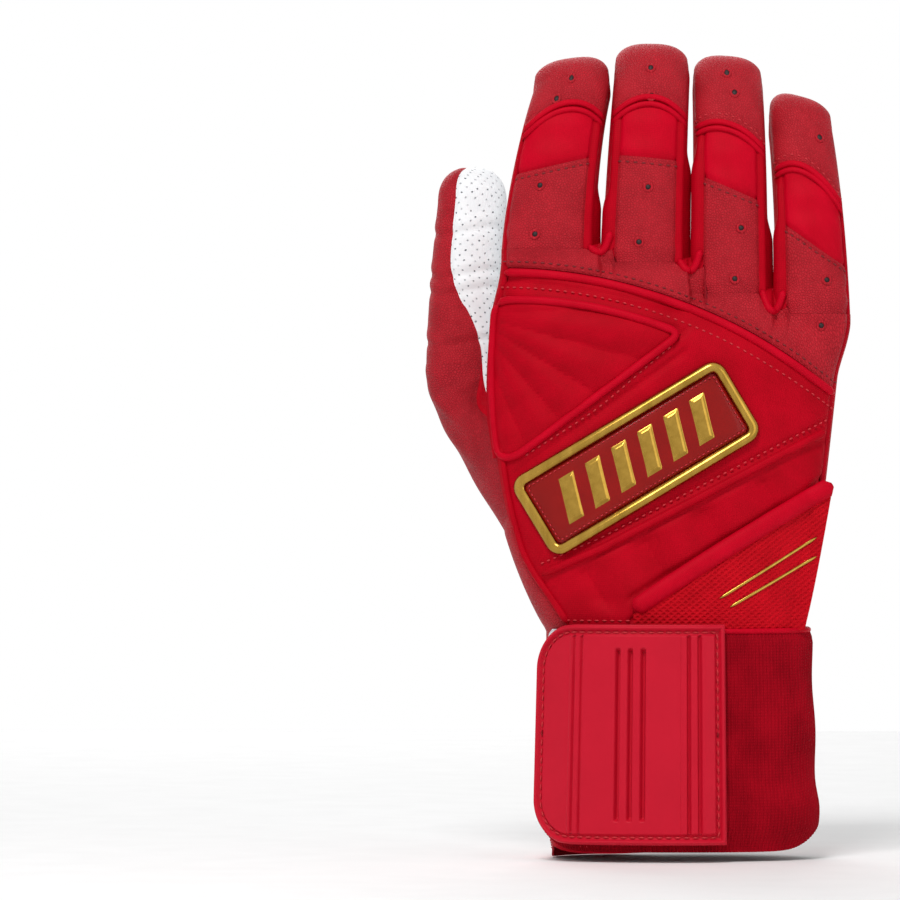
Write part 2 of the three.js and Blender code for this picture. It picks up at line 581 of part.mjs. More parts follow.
const loopBottom = FLAP_HEIGHT - FLAP_DROP + SEAM;
const tapeTop = CUFF_HEIGHT - TAPE_MARGIN;
closurePiece("loop_patch", TAPE_GREY, HOOK_TAPE, loopLift, TAPE_MARGIN, loopBottom, tapeTop);
closurePiece("hook_patch", TAPE_GREY, HOOK_TAPE, hookLift, TAPE_MARGIN, loopBottom, tapeTop);
closurePiece("closure_tab", RED_RUBBER, TAB_THICKNESS, tabLift, 0, 0, CUFF_HEIGHT);

export default glove;
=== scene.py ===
# %% [markdown]
# # A batting glove, dressed
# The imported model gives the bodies, the joints and a plain solid for every piece. This script lays
# the real surfaces over those solids: white perforated goatskin, red grained leather, stretch knit,
# ribbed cuff, moulded rubber and gold foil. Everything is worked out in millimetres and turned into
# metres when a mesh is made.

# %% Load the frame
import math

import bpy
import numpy as np
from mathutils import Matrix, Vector


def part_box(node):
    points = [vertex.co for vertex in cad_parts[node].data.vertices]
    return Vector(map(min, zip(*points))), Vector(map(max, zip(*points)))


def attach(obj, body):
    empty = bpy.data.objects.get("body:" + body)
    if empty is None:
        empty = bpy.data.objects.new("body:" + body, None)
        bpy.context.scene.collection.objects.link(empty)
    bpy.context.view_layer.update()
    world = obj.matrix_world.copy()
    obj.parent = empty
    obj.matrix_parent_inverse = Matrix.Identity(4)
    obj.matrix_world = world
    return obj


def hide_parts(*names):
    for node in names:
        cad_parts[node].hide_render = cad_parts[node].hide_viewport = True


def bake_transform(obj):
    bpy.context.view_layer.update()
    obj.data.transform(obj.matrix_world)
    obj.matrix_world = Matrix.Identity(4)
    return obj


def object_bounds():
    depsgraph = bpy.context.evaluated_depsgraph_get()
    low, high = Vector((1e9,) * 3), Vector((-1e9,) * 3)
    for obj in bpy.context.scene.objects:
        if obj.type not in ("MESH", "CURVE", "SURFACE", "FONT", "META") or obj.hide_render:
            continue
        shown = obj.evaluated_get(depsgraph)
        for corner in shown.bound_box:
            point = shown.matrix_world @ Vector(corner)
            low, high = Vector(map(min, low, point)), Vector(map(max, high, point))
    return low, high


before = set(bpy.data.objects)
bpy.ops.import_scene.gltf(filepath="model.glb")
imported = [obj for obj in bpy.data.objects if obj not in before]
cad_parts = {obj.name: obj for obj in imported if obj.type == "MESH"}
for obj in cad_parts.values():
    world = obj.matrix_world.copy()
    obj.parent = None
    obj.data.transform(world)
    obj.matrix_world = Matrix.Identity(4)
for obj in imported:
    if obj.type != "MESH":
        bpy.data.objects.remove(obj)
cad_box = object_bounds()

# %% [markdown]
# ## The glove's own shape
# A glove is a rounded section swept along a hand, and the same section swept along each finger. The
# solids were made from these curves, so the fine surfaces use them too and lie on the solids. The
# few sizes below are the glove's pattern; heights and widths that the frame already knows are read
# from its boxes.

# %% The pattern's sizes
MM = 0.001


def span(node, axis):
    """Lowest and highest millimetre of a solid along x, y or z."""
    low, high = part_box(node)
    return low[axis] / MM, high[axis] / MM


ROUNDNESS = 2.4
LEATHER = 1.1
CUFF_HEIGHT = span("cuff_sleeve", 2)[1]
CUFF_HALF_MOUTH = span("cuff_sleeve", 0)[1]
CUFF_HALF_DEPTH = span("cuff_sleeve", 1)[1]
CUFF_HALF_WRIST = 39.6
CUFF_KNIT = 1.8
WRIST_CLEARANCE = 0.5
HEM_TUCK = 5.0
HAND_LENGTH = 111.0
PALM_HALF_DEPTH = 17.0
THUMB_BULGE = 8.0
KNUCKLE_RAMP = 19.0
VALLEY_LENGTH = 6.5
VALLEY_POWER = 1.6
CROTCH_HALF_DEPTH = 6.9
KNUCKLE_BOX = 0.35
FINGER_GAP = 1.8
SIDE_STRIP_SHARE = 0.1
EDGE_ZONE = 0.1
EDGE_RUN = 34.0
PALM_EDGE = 0.97
LEAN_GROWTH = 1.6
FINGER_DEPTH_ROOT = 9.6
FINGER_DEPTH_TIP = 8.2
FINGERTIP_REACH = 11.0
CAP_WRAP = 113.0
BEND_LENGTH = 22.0
WRIST_Z = CUFF_HEIGHT
WRIST_HALF_WIDTH = CUFF_HALF_WRIST - CUFF_KNIT - WRIST_CLEARANCE
WRIST_HALF_DEPTH = CUFF_HALF_DEPTH - CUFF_KNIT - WRIST_CLEARANCE


def mix(a, b, t):
    """From a to b by the share t."""
    return a + (b - a) * t


def ease(t):
    """A soft step that rises from 0 to 1."""
    t = np.clip(t, 0.0, 1.0)
    return t * t * (3.0 - 2.0 * t)


def rounded_side(c):
    """The other coordinate on the unit rounded section."""
    return np.maximum(0.0, 1.0 - np.abs(c) ** ROUNDNESS) ** (1.0 / ROUNDNESS)


def rounded_power(c):
    """A signed power of cosine or sine, for walking round a rounded section."""
    return np.sign(c) * np.abs(c) ** (2.0 / ROUNDNESS)


def bump_at(x, middle, width):
    """A smooth hill of height 1 round a middle."""
    return np.exp(-(((x - middle) / width) ** 2))


print("cuff", round(CUFF_HEIGHT, 1), "mm tall,", round(2 * CUFF_HALF_MOUTH, 1), "mm across its mouth")

# %% [markdown]
# ## Fingers
# Each finger has a root, a middle knuckle, a sewn tip cap and a slight curl towards the palm. The
# middle line is found by adding up small steps, each turned a little further than the last, and is
# kept as a table so that any point along the finger is looked up quickly.

# %% Finger and thumb stalls
LINE_STEPS, LINE_RESERVE = 400, 4.0


class Stall:
    """One finger or thumb stall with its widths, lengths along it, lean and curl."""

    def __init__(self, name, root, tip, z, knuckle, cap, length, lean, curl,
                 y=0.0, depths=None, reach=None):
        self.name, self.root, self.tip, self.z = name, root, tip, z
        self.knuckle, self.cap, self.length, self.lean = knuckle, cap, length, lean
        self.depth_root, self.depth_tip = depths or (FINGER_DEPTH_ROOT, FINGER_DEPTH_TIP)
        self.reach = reach or FINGERTIP_REACH
        self.dome = length - self.reach
        end_joint = (cap + length) / 2 - FINGERTIP_REACH / 2
        steps = np.linspace(0.0, length + LINE_RESERVE, LINE_STEPS)
        bends = [ease((steps - at) / BEND_LENGTH + 0.5) for at in (knuckle + BEND_LENGTH / 4, end_joint)]
        self.steps, self.angle = steps, math.radians(curl / 2) * (bends[0] + bends[1])
        ds = steps[1] - steps[0]
        self.line_y = y + np.concatenate([[0.0], np.cumsum(np.sin(self.angle[:-1]) * ds)])
        self.line_z = z + np.concatenate([[0.0], np.cumsum(np.cos(self.angle[:-1]) * ds)])

    def point(self, across, forward, s, t, lift):
        """A point from unit section coordinates, s along the stall and t into its rounded end."""
        share = s / self.length
        half = mix(self.root, self.tip, share) / 2 + lift
        deep = mix(self.depth_root, self.depth_tip, share) + lift
        q = s + t * (self.reach + lift)
        angle = np.interp(q, self.steps, self.angle)
        y = np.interp(q, self.steps, self.line_y) + deep * forward * np.cos(angle)
        z = np.interp(q, self.steps, self.line_z) - deep * forward * np.sin(angle)
        x = self.x + self.lean * np.maximum(0.0, share) ** LEAN_GROWTH + half * across
        return np.stack(np.broadcast_arrays(x, y, z), -1)

    def middle(self, s):
        """The middle line's point at s, in metres."""
        y, z = np.interp(s, self.steps, self.line_y), np.interp(s, self.steps, self.line_z)
        return (self.x * MM, y * MM, z * MM)


INDEX_ROOT = WRIST_Z + HAND_LENGTH
# Name, width at root and tip, root height, then knuckle, cap and length along it, lean and curl.
FINGERS = [
    Stall("index", 27.6, 21.6, INDEX_ROOT, 24.0, 38.0, 58.0, 9.6, 40.0),
    Stall("middle", 24.4, 21.8, INDEX_ROOT - 4.0, 30.0, 44.0, 67.0, 3.4, 42.0),
    Stall("ring", 22.4, 20.4, INDEX_ROOT - 13.0, 30.0, 46.0, 73.0, -0.4, 40.0),
    Stall("little", 22.0, 18.0, INDEX_ROOT - 19.0, 20.0, 39.0, 66.0, -4.0, 32.0),
]
ROW_WIDTH = sum(f.root for f in FINGERS) + FINGER_GAP * (len(FINGERS) - 1)
ROW_LEFT = -ROW_WIDTH / 2
next_left = ROW_LEFT
for stall in FINGERS:
    stall.x = next_left + stall.root / 2
    next_left += stall.root + FINGER_GAP

THUMB_WIDTH, THUMB_DEPTH, THUMB_LENGTH, THUMB_BESIDE = 21.4, 21.0, 58.0, 0.7
THUMB = Stall("thumb", root=THUMB_WIDTH, tip=0.94 * THUMB_WIDTH, z=WRIST_Z + 78.0, y=20.0,
              knuckle=0.4 * THUMB_LENGTH, cap=0.6 * THUMB_LENGTH, length=THUMB_LENGTH, lean=4.0, curl=10.0,
              depths=(THUMB_DEPTH / 2, 0.45 * THUMB_DEPTH), reach=THUMB_WIDTH / 2)
THUMB.x = ROW_LEFT - THUMB_BESIDE - THUMB_WIDTH / 2
for stall in FINGERS + [THUMB]:
    print(stall.name, "root at", round(stall.x, 1), round(stall.z, 1), "mm, length", stall.length)

# %% [markdown]
# ## The hand
# A point of the hand is named by its share of the width from the thumb side, its height and its
# side. Near the knuckles the one broad section turns into the row of four finger sections, which
# leaves the soft valleys that run down from between the fingers.

# %% Hand surface
def soft_max(a, b, k=1.2):
    return 0.5 * (a + b + np.sqrt((a - b) ** 2 + k * k)) - k / 4


def knuckle_edge(x, lift):
    """Height of the hand's upper edge and half depth of its section, at x along the row of fingers."""
    z = np.full(np.shape(x), FINGERS[-1].z)
    depth = np.zeros(np.shape(x))
    crotch = CROTCH_HALF_DEPTH + lift
    for k, f in enumerate(FINGERS):
        c = (x - f.x) / (f.root / 2)
        own = (FINGER_DEPTH_ROOT + lift) * rounded_side(np.clip(c, -1, 1))
        free = ((k == 0) & (c < 0)) | ((k == len(FINGERS) - 1) & (c > 0))
        inside = np.abs(c) <= 1 + 1e-6
        depth = np.where(inside, np.where(free, own, soft_max(own, crotch)), depth)
        z = np.where(inside, f.z, z)
        if k:
            before = FINGERS[k - 1]
            t = (x - before.x - before.root / 2) / FINGER_GAP
            gap = (t > 0) & (t < 1)
            z = np.where(gap, mix(before.z, f.z, ease(t)), z)
            depth = np.where(gap, soft_max(0.0 * x, crotch), depth)
    return np.where(x < FINGERS[0].x, FINGERS[0].z, z), depth


def hand_outline(z):
    """Left and right side of the hand and half its depth, at a height."""
    t = np.clip((z - WRIST_Z) / HAND_LENGTH, 0, 1)
    bulge = THUMB_BULGE * np.sin(np.pi * t ** 0.8)
    left = mix(-WRIST_HALF_WIDTH, ROW_LEFT, np.sin(np.pi / 2 * t)) - bulge
    right = mix(WRIST_HALF_WIDTH, -ROW_LEFT, t ** 0.8)
    return left, right, mix(WRIST_HALF_DEPTH, PALM_HALF_DEPTH, ease(1.6 * t))


def hand_point(share, z, side, lift):
    """A point of the hand; side is -1 on the back and 1 on the palm, lift is outward."""
    share, z, lift = np.broadcast_arrays(share, z, lift)
    top = ROW_LEFT + share * ROW_WIDTH
    edge_z, edge_depth = knuckle_edge(top, lift)
    left, right, depth = hand_outline(z)
    ramp_z = np.interp(top, [f.x for f in FINGERS], [f.z for f in FINGERS])
    valley = ease((z - edge_z + VALLEY_LENGTH) / VALLEY_LENGTH) ** VALLEY_POWER
    to_fingers = mix(ease((z - ramp_z + KNUCKLE_RAMP) / KNUCKLE_RAMP), 1.0, valley)
    smooth_depth = (FINGER_DEPTH_ROOT + lift) * rounded_side(2 * share - 1) ** KNUCKLE_BOX
    edge_depth = mix(smooth_depth, edge_depth, valley)
    near = np.clip(1 - share / EDGE_ZONE, 0, 1) - np.clip(1 - (1 - share) / EDGE_ZONE, 0, 1)
    x = mix(mix(left, right, share), top, to_fingers) - lift * near
    y = mix((depth + lift) * rounded_side(2 * share - 1), edge_depth, to_fingers)
    return np.stack([x, side * y, z], -1)


def on_hand(x, z, side, lift):
    """The hand's point at x and z, found by halving the share until x fits."""
    x, z, lift = np.broadcast_arrays(np.asarray(x, float), np.asarray(z, float), np.asarray(lift, float))
    low, high = np.zeros(x.shape), np.ones(x.shape)
    for _ in range(30):
        middle = (low + high) / 2
        short = hand_point(middle, z, side, lift)[..., 0] < x
        low, high = np.where(short, middle, low), np.where(short, high, middle)
    return hand_point((low + high) / 2, z, side, lift)


def cuff_point(angle, z, lift):
    """A point of the cuff at an angle round it and a height."""
    half = mix(CUFF_HALF_MOUTH, CUFF_HALF_WRIST, z / CUFF_HEIGHT) + lift
    deep = CUFF_HALF_DEPTH + lift
    parts = (half * rounded_power(np.cos(angle)), deep * rounded_power(np.sin(angle)), z)
    return np.stack(np.broadcast_arrays(*parts), -1)


def cuff_angle(x, z):
    """The angle round the cuff, from +X through the palm, at which its surface has this x."""
    c = np.clip(x / mix(CUFF_HALF_MOUTH, CUFF_HALF_WRIST, z / CUFF_HEIGHT), -1, 1)
    return np.arccos(np.sign(c) * np.abs(c) ** (ROUNDNESS / 2))


shares = np.linspace(0, 1, 5)
print("back of the hand at mid height", hand_point(shares, 120.0, -1, 0.0).round(1).tolist())

# %% [markdown]
# ## Meshes from surfaces
# Every soft piece is a thin closed panel: an outer face, an inner face one leather thickness below,
# and a rim round its border. A panel carries a UV map in millimetres, measured along its own
# surface, so that grain, weave and perforations keep their real size on every piece. Its normals
# come from the formula of the surface, so two panels that meet flush show no false edge.

# %% Panel maker
UV_NAME = "millimetres"
NORMAL_STEP = 0.25
SIDE_SPREAD, SIDE_START, SIDE_FADE = 0.7, 0.75, 0.2


def unit(v):
    return v / np.maximum(np.linalg.norm(v, axis=-1, keepdims=True), 1e-9)


def new_piece(name, points, faces, finish, uv=None, normals=None):
    """A smooth mesh object from points in millimetres and lists of corner numbers."""
    mesh = bpy.data.meshes.new(name)
    mesh.from_pydata((np.asarray(points) * MM).tolist(), [], faces)
    mesh.polygons.foreach_set("use_smooth", np.ones(len(mesh.polygons), bool))
    corners = np.empty(len(mesh.loops), np.int32)
    mesh.loops.foreach_get("vertex_index", corners)
    uv = np.asarray(points)[:, :2] if uv is None else uv
    layer = mesh.uv_layers.new(name=UV_NAME)
    layer.uv.foreach_set("vector", np.asarray(uv, np.float32)[corners].ravel())
    mesh.update()
    if normals is not None:
        mesh.normals_split_custom_set_from_vertices(normals.tolist())
    mesh.materials.append(finish)
    piece = bpy.data.objects.new(name, mesh)
    bpy.context.scene.collection.objects.link(piece)
    return piece


def quads(a, b, c, d):
    return np.stack([a.ravel(), b.ravel(), c.ravel(), d.ravel()], -1)


def panel(name, place, columns, rows, finish, thickness=LEATHER, ring=False, origin=(0, 0), planar=False):
    """A thin closed panel; place(u, v, lift) gives points for u across and v along, both from 0 to 1.

    A planar panel takes its map from the front view, drawn out where it turns away at its sides.
    """
    across = columns if ring else columns + 1
    u = (np.arange(across) / columns)[None, :]
    v = (np.arange(rows + 1) / rows)[:, None]
    outer, inner = place(u, v, 0.0), place(u, v, -thickness)
    du, dv = NORMAL_STEP / columns, NORMAL_STEP / rows
    normal = unit(np.cross(place(u + du, v, 0.0) - place(u - du, v, 0.0),
                           place(u, v + dv, 0.0) - place(u, v - dv, 0.0)))
    outward = np.sum(normal * (outer - inner), axis=-1).mean() > 0
    normal = normal if outward else -normal
    steps_u = np.linalg.norm(np.diff(outer, axis=1), axis=-1)
    steps_v = np.linalg.norm(np.diff(outer, axis=0), axis=-1).mean(axis=1)
    map_u = np.concatenate([np.zeros((rows + 1, 1)), np.cumsum(steps_u, axis=1)], axis=1)
    map_u = map_u - map_u[:, -1:] / 2 + origin[0]
    map_v = np.concatenate([[0.0], np.cumsum(steps_v)])[:, None] + origin[1] + 0 * map_u
    at = np.arange((rows + 1) * across).reshape(rows + 1, across)
    if ring:
        at = np.concatenate([at, at[:, :1]], axis=1)
    below = at + (rows + 1) * across
    faces = [quads(at[:-1, :-1], at[:-1, 1:], at[1:, 1:], at[1:, :-1]),
             quads(below[:-1, :-1], below[1:, :-1], below[1:, 1:], below[:-1, 1:]),
             quads(at[0, :-1], below[0, :-1], below[0, 1:], at[0, 1:]),
             quads(at[-1, :-1], at[-1, 1:], below[-1, 1:], below[-1, :-1])]
    if not ring:
        faces += [quads(at[:-1, 0], at[1:, 0], below[1:, 0], below[:-1, 0]),
                  quads(at[:-1, -1], below[:-1, -1], below[1:, -1], at[1:, -1])]
    faces = np.concatenate(faces)
    points = np.concatenate([outer.reshape(-1, 3), inner.reshape(-1, 3)])
    if planar:
        beside = 2 * u - 1
        fall = outer[..., 1].max(axis=1, keepdims=True) - outer[..., 1]
        turned = ease((np.abs(beside) - SIDE_START) / SIDE_FADE)
        map_u = outer[..., 0] + np.sign(beside) * SIDE_SPREAD * fall * turned
        map_v = outer[..., 2]
    uv = np.stack([map_u, map_v], -1).reshape(-1, 2)
    normals = np.concatenate([normal.reshape(-1, 3), -normal.reshape(-1, 3)])
    faces = (faces if outward else faces[:, ::-1]).tolist()
    return new_piece(name, points, faces, finish, np.concatenate([uv, uv]), normals)


print("panels are", LEATHER, "mm thick unless they say otherwise")

# %% [markdown]
# Seams also need round things: a cord of piping, and thread. Both follow a line of points that lies
# on a surface. A line comes with a second line just above it, which tells which way is outward.

# %% Cord and thread makers
CORD_SIDES, CORD_END, CORD_SWELL = 10, 0.3, 0.35
STITCH_SIDES, STITCH_BARREL, STITCH_FLAT = 6, 1.06, 0.8
STITCH_RISE, STITCH_DIP = 0.35, 0.7


def run_along(points):
    """Distance from the start of a line of points to each of them."""
    return np.concatenate([[0.0], np.cumsum(np.linalg.norm(np.diff(points, axis=0), axis=1))])


def resampled(line, pitch):
    """Points at an even pitch on a line, with the ways along it, across it and outward."""
    base, above = (np.asarray(part, float) for part in line)
    run = run_along(base)
    marks = np.linspace(0, run[-1], max(3, int(round(run[-1] / pitch)) + 1))
    points, tops = (np.stack([np.interp(marks, run, p[:, k]) for k in range(3)], -1) for p in (base, above))
    tangent = unit(np.gradient(points, axis=0))
    across = unit(np.cross(tangent, unit(tops - points)))
    return points, tangent, across, unit(np.cross(across, tangent))


def rings_to_tubes(rings):
    """Points and faces of closed tubes from an array of tube, ring, corner and xyz."""
    count, length, sides = rings.shape[:3]
    at = np.arange(count * length * sides).reshape(count, length, sides)
    turned = np.roll(at, -1, axis=2)
    walls = np.stack([at[:, :-1], turned[:, :-1], turned[:, 1:], at[:, 1:]], -1).reshape(-1, 4)
    ends = np.concatenate([at[:, 0, ::-1], at[:, -1]])
    return rings.reshape(-1, 3), walls.tolist() + ends.tolist()


def piping(name, line, radius, finish, flat=1.0, pitch=0.9, sides=CORD_SIDES):
    """A closed cord of rounded section that follows a line, with ends drawn in."""
    points, tangent, across, up = resampled(line, pitch)
    turn = np.arange(sides) * 2 * np.pi / sides
    order = np.arange(len(points))
    taper = np.minimum(1.0, CORD_END + CORD_SWELL * np.minimum(order, order[::-1]))
    ring = np.cos(turn)[None, :, None] * across[:, None] + flat * np.sin(turn)[None, :, None] * up[:, None]
    rings = points[:, None] + ring * (radius * taper)[:, None, None]
    uv = np.stack(np.broadcast_arrays(turn[None, :] * radius, order[:, None] * pitch), -1)
    return new_piece(name, *rings_to_tubes(rings[None]), finish, uv.reshape(-1, 2))


def stitching(name, lines, finish, pitch, length, radius=0.26):
    """Rows of thread stitches: small rounded bars that dip into the surface at both ends."""
    along = np.linspace(-1, 1, 5)[:, None, None]
    fat = np.sqrt(STITCH_BARREL - along ** 2) * radius
    sink = radius * (STITCH_RISE - STITCH_DIP * along ** 2)
    turn = (np.arange(STITCH_SIDES) * 2 * np.pi / STITCH_SIDES)[None, :, None]
    bars = []
    for line in lines:
        for middle, heading, side, up in zip(*resampled(line, pitch)):
            bar = middle + along * heading * length / 2 + sink * up
            bars.append(bar + fat * (np.cos(turn) * side + STITCH_FLAT * np.sin(turn) * up))
    return new_piece(name, *rings_to_tubes(np.array(bars)), finish)


print("a cord has", CORD_SIDES, "sides, a stitch has", STITCH_SIDES)

# %% [markdown]
# ## Finishes
# Colours are written as they look on a screen and turned into the renderer's linear values by one
# function. Each finish starts from what the real material is and how its surface was made, and takes
# its grain, weave or holes from a size in millimetres on the panel's own map.

# %% Colour and node helpers
def linear(hex_colour):
    """A linear colour with full alpha from an sRGB hex value."""
    parts = [int(hex_colour[k:k + 2], 16) / 255 for k in (1, 3, 5)]
    return tuple(p / 12.92 if p <= 0.04045 else ((p + 0.055) / 1.055) ** 2.4 for p in parts) + (1.0,)


def plug(tree, node, inputs):
    """Fills a node's inputs: a socket is linked, anything else is a plain value."""
    for key, value in inputs.items():
        if isinstance(value, bpy.types.NodeSocket):
            tree.links.new(value, node.inputs[key])
        else:
            node.inputs[key].default_value = value


def add_node(tree, kind, inputs, **settings):
    """One shader node with its settings and inputs; gives its first live output."""
    node = tree.nodes.new("ShaderNode" + kind)
    for key, value in settings.items():
        setattr(node, key, value)
    plug(tree, node, inputs)
    return next(socket for socket in node.outputs if socket.enabled)


def start_finish(name, **values):
    """A new material with plain shader values; gives it with its tree, shader and millimetre map."""
    finish = bpy.data.materials.new(name)
    finish.use_nodes = True
    tree = finish.node_tree
    shader = tree.nodes["Principled BSDF"]
    plug(tree, shader, {key.replace("_", " "): value for key, value in values.items()})
    return finish, tree, shader, add_node(tree, "UVMap", {}, uv_map=UV_NAME)


def patches(tree, where, size, detail):
    """Cloudy patches from 0 to 1, about this many millimetres wide."""
    return add_node(tree, "TexNoise", {"Vector": where, "Scale": 1 / size, "Detail": detail})


def dyed(tree, amount, deep, light):
    """A colour that goes from a deep hex value to a light one."""
    return add_node(tree, "Mix", {0: amount, 6: linear(deep), 7: linear(light)}, data_type="RGBA")


def pressed(tree, height, depth, strength):
    """A bump from a height of 0 to 1 that is pressed this many millimetres deep."""
    return add_node(tree, "Bump", {"Height": height, "Distance": depth * MM, "Strength": strength})


print("a mid red is", linear("#B00018")[:3], "in linear light")

# %% [markdown]
# Grained leather is dyed hide with a fine pebble pressed into it. The pebble is a pattern of cells
# about a millimetre wide whose edges sink, with smaller pores and slow patches of a deeper dye.

# %% Red grained leather
PEBBLE_EDGE, PORES_PER_GRAIN, DYE_PATCH = 0.32, 2.6, 9.0


def grained_leather(name, light, deep, grain, depth, roughness):
    """Dyed goatskin: small soft pebbles give it a dull sheen that breaks up highlights."""
    finish, tree, shader, where = start_finish(name, Roughness=roughness, IOR=1.45, Specular_IOR_Level=0.16)
    cells = add_node(tree, "TexVoronoi", {"Vector": where, "Scale": 1 / grain},
                     feature="DISTANCE_TO_EDGE", voronoi_dimensions="2D")
    pebble = add_node(tree, "MapRange", {"Value": cells, "From Max": PEBBLE_EDGE},
                      interpolation_type="SMOOTHSTEP")
    pores = add_node(tree, "TexNoise", {"Vector": where, "Scale": PORES_PER_GRAIN / grain, "Detail": 3.0})
    dye = patches(tree, where, DYE_PATCH, 4.0)
    height = add_node(tree, "Math", {0: pores, 1: 0.8, 2: pebble}, operation="MULTIPLY_ADD")
    tone = add_node(tree, "Math", {0: pebble, 1: 0.45, 2: dye}, operation="MULTIPLY_ADD")
    amount = add_node(tree, "MapRange", {"Value": tone, "From Min": 0.35, "From Max": 1.0})
    colour = dyed(tree, amount, deep, light)
    normal = pressed(tree, height, depth, 0.8)
    plug(tree, shader, {"Base Color": colour, "Normal": normal})
    return finish


RED_LEATHER = grained_leather("red_goatskin_leather", "#BC1E2C", "#98121E", 0.75, 0.14, 0.52)
# The tumbled leather's coarser grain is real; its deeper red is painted shade for the side of the thumb's
# mound that turns from the light.
ROUGH_LEATHER_PAINTED_SHADE = grained_leather("red_tumbled_leather", "#B61C2A", "#900F1C", 0.9, 0.18, 0.53)
print("leathers", RED_LEATHER.name, ROUGH_LEATHER_PAINTED_SHADE.name)

# %% [markdown]
# The palm is white goatskin, punched with small holes so that it breathes. The holes stand in
# slanting rows about two millimetres apart, a little coarser than the real ones so that they show. A
# cell pattern with little randomness is nearly a square grid. It is turned, and slowly pulled out of
# line as a worked hide is, and in patches the holes are rubbed nearly shut.

# %% White perforated leather
HOLE_PITCH, HOLE_RADIUS, HOLE_JITTER, HOLE_TURN = 2.1, 0.25, 0.24, math.radians(52.0)
HOLE_DRIFT, DRIFT_PATCH, RUBBED_PATCH = (6.0, 4.0, 0.0), 16.0, 3.5
CREASE_WIDTH, HIDE_GRIT = 7.0, 0.45


def perforated_leather(name):
    """Punched white hide: nearly matt, faintly creased with painted shade in the creases, with grey shadows
    in the holes.
    """
    finish, tree, shader, where = start_finish(name, Roughness=0.56, IOR=1.45)
    grid = 1 / HOLE_PITCH
    pull = patches(tree, where, DRIFT_PATCH, 2.0)
    pulled = add_node(tree, "VectorMath", {0: pull, 1: HOLE_DRIFT, 2: where}, operation="MULTIPLY_ADD")
    turned = add_node(tree, "Mapping", {"Vector": pulled, "Rotation": (0.0, 0.0, HOLE_TURN)})
    dots = add_node(tree, "TexVoronoi", {"Vector": turned, "Scale": grid, "Randomness": HOLE_JITTER},
                    feature="F1", voronoi_dimensions="2D")
    solid = add_node(tree, "MapRange", {"Value": dots, "From Min": 0.7 * HOLE_RADIUS * grid,
                                        "From Max": 1.25 * HOLE_RADIUS * grid})
    creases = add_node(tree, "TexNoise", {"Vector": where, "Scale": 1 / CREASE_WIDTH, "Detail": 5.0,
                                          "Distortion": 1.2})
    fine = patches(tree, where, HIDE_GRIT, 3.0)
    # Painted shade: the hide turns greyer where the creases sink, by the same noise as their bump.
    hide = dyed(tree, creases, "#ECEFF2", "#FAFBFC")
    wear = patches(tree, where, RUBBED_PATCH, 1.0)
    shut = add_node(tree, "MapRange", {"Value": wear, "From Min": 0.4, "From Max": 0.62, "To Max": 0.75})
    cover = add_node(tree, "Math", {0: solid, 1: shut}, operation="MAXIMUM")
    colour = add_node(tree, "Mix", {0: cover, 6: linear("#575D64"), 7: hide}, data_type="RGBA")
    pile = add_node(tree, "Math", {0: fine, 1: 0.25, 2: solid}, operation="MULTIPLY_ADD")
    height = add_node(tree, "Math", {0: creases, 1: 0.9, 2: pile}, operation="MULTIPLY_ADD")
    normal = pressed(tree, height, 0.22, 0.7)
    plug(tree, shader, {"Base Color": colour, "Normal": normal})
    return finish


WHITE_LEATHER = perforated_leather("white_perforated_goatskin")
print("white leather with holes every", HOLE_PITCH, "mm")

# %% [markdown]
# Stretch panels are a smooth elastane knit. Its loops are far finer than a pixel, so two crossing
# waves are drawn at about half a millimetre, as coarse as they need to be to show.

# %% Stretch knit, ribbed knit and mesh
# A wave node at a scale of 1 draws its stripes this far apart.
STRIPE, TONE_PATCH = 2 * math.pi / 20.0, 11.0


def stretch_knit(name, light, deep, loop, depth, roughness, sheen):
    """Knitted elastane: saturated and soft, with a faint even tooth and a little fuzz at grazing angles."""
    finish, tree, shader, where = start_finish(
        name, Roughness=roughness, Specular_IOR_Level=0.06, Sheen_Weight=sheen, Sheen_Roughness=0.4,
        Sheen_Tint=linear(light))
    per_mm = STRIPE / loop
    wale = add_node(tree, "TexWave", {"Vector": where, "Scale": per_mm, "Distortion": 0.3})
    course = add_node(tree, "TexWave", {"Vector": where, "Scale": per_mm}, bands_direction="Y")
    tooth = add_node(tree, "Math", {0: wale, 1: course}, operation="MULTIPLY")
    slow = patches(tree, where, TONE_PATCH, 3.0)
    tone = add_node(tree, "Math", {0: tooth, 1: 0.35, 2: slow}, operation="MULTIPLY_ADD")
    amount = add_node(tree, "MapRange", {"Value": tone, "From Min": 0.3, "From Max": 0.85})
    colour = dyed(tree, amount, deep, light)
    normal = pressed(tree, tooth, depth, 0.7)
    plug(tree, shader, {"Base Color": colour, "Normal": normal})
    return finish


SPANDEX = stretch_knit("red_elastane_knit", "#BE001C", "#A40014", 0.55, 0.05, 0.62, 0.15)
SPANDEX_EDGE = stretch_knit("red_elastane_binding", "#CC0224", "#B4001A", 0.5, 0.05, 0.58, 0.15)
CUFF_KNIT_FINISH = stretch_knit("red_ribbed_cuff_knit", "#A6041A", "#820010", 0.8, 0.12, 0.75, 0.2)
STRAP_MESH = stretch_knit("red_warp_knit_mesh", "#D00A1E", "#AE0414", 0.7, 0.08, 0.6, 0.1)
print("knits", SPANDEX.name, CUFF_KNIT_FINISH.name, STRAP_MESH.name)

# %% [markdown]
# The hard trim is moulded. The closure tab is soft matt rubber with a fine etched skin, the badge
# frames carry hot-pressed gold foil, and the badge fields are a clear resin dome poured over red.

# %% Rubber, foil and resin
ETCH, RUBBER_PATCH, FOIL_WEAR, INK_PATCH = 0.4, 14.0, 3.0, 8.0
BRUSHED = (0.25, 2.4, 1.0)


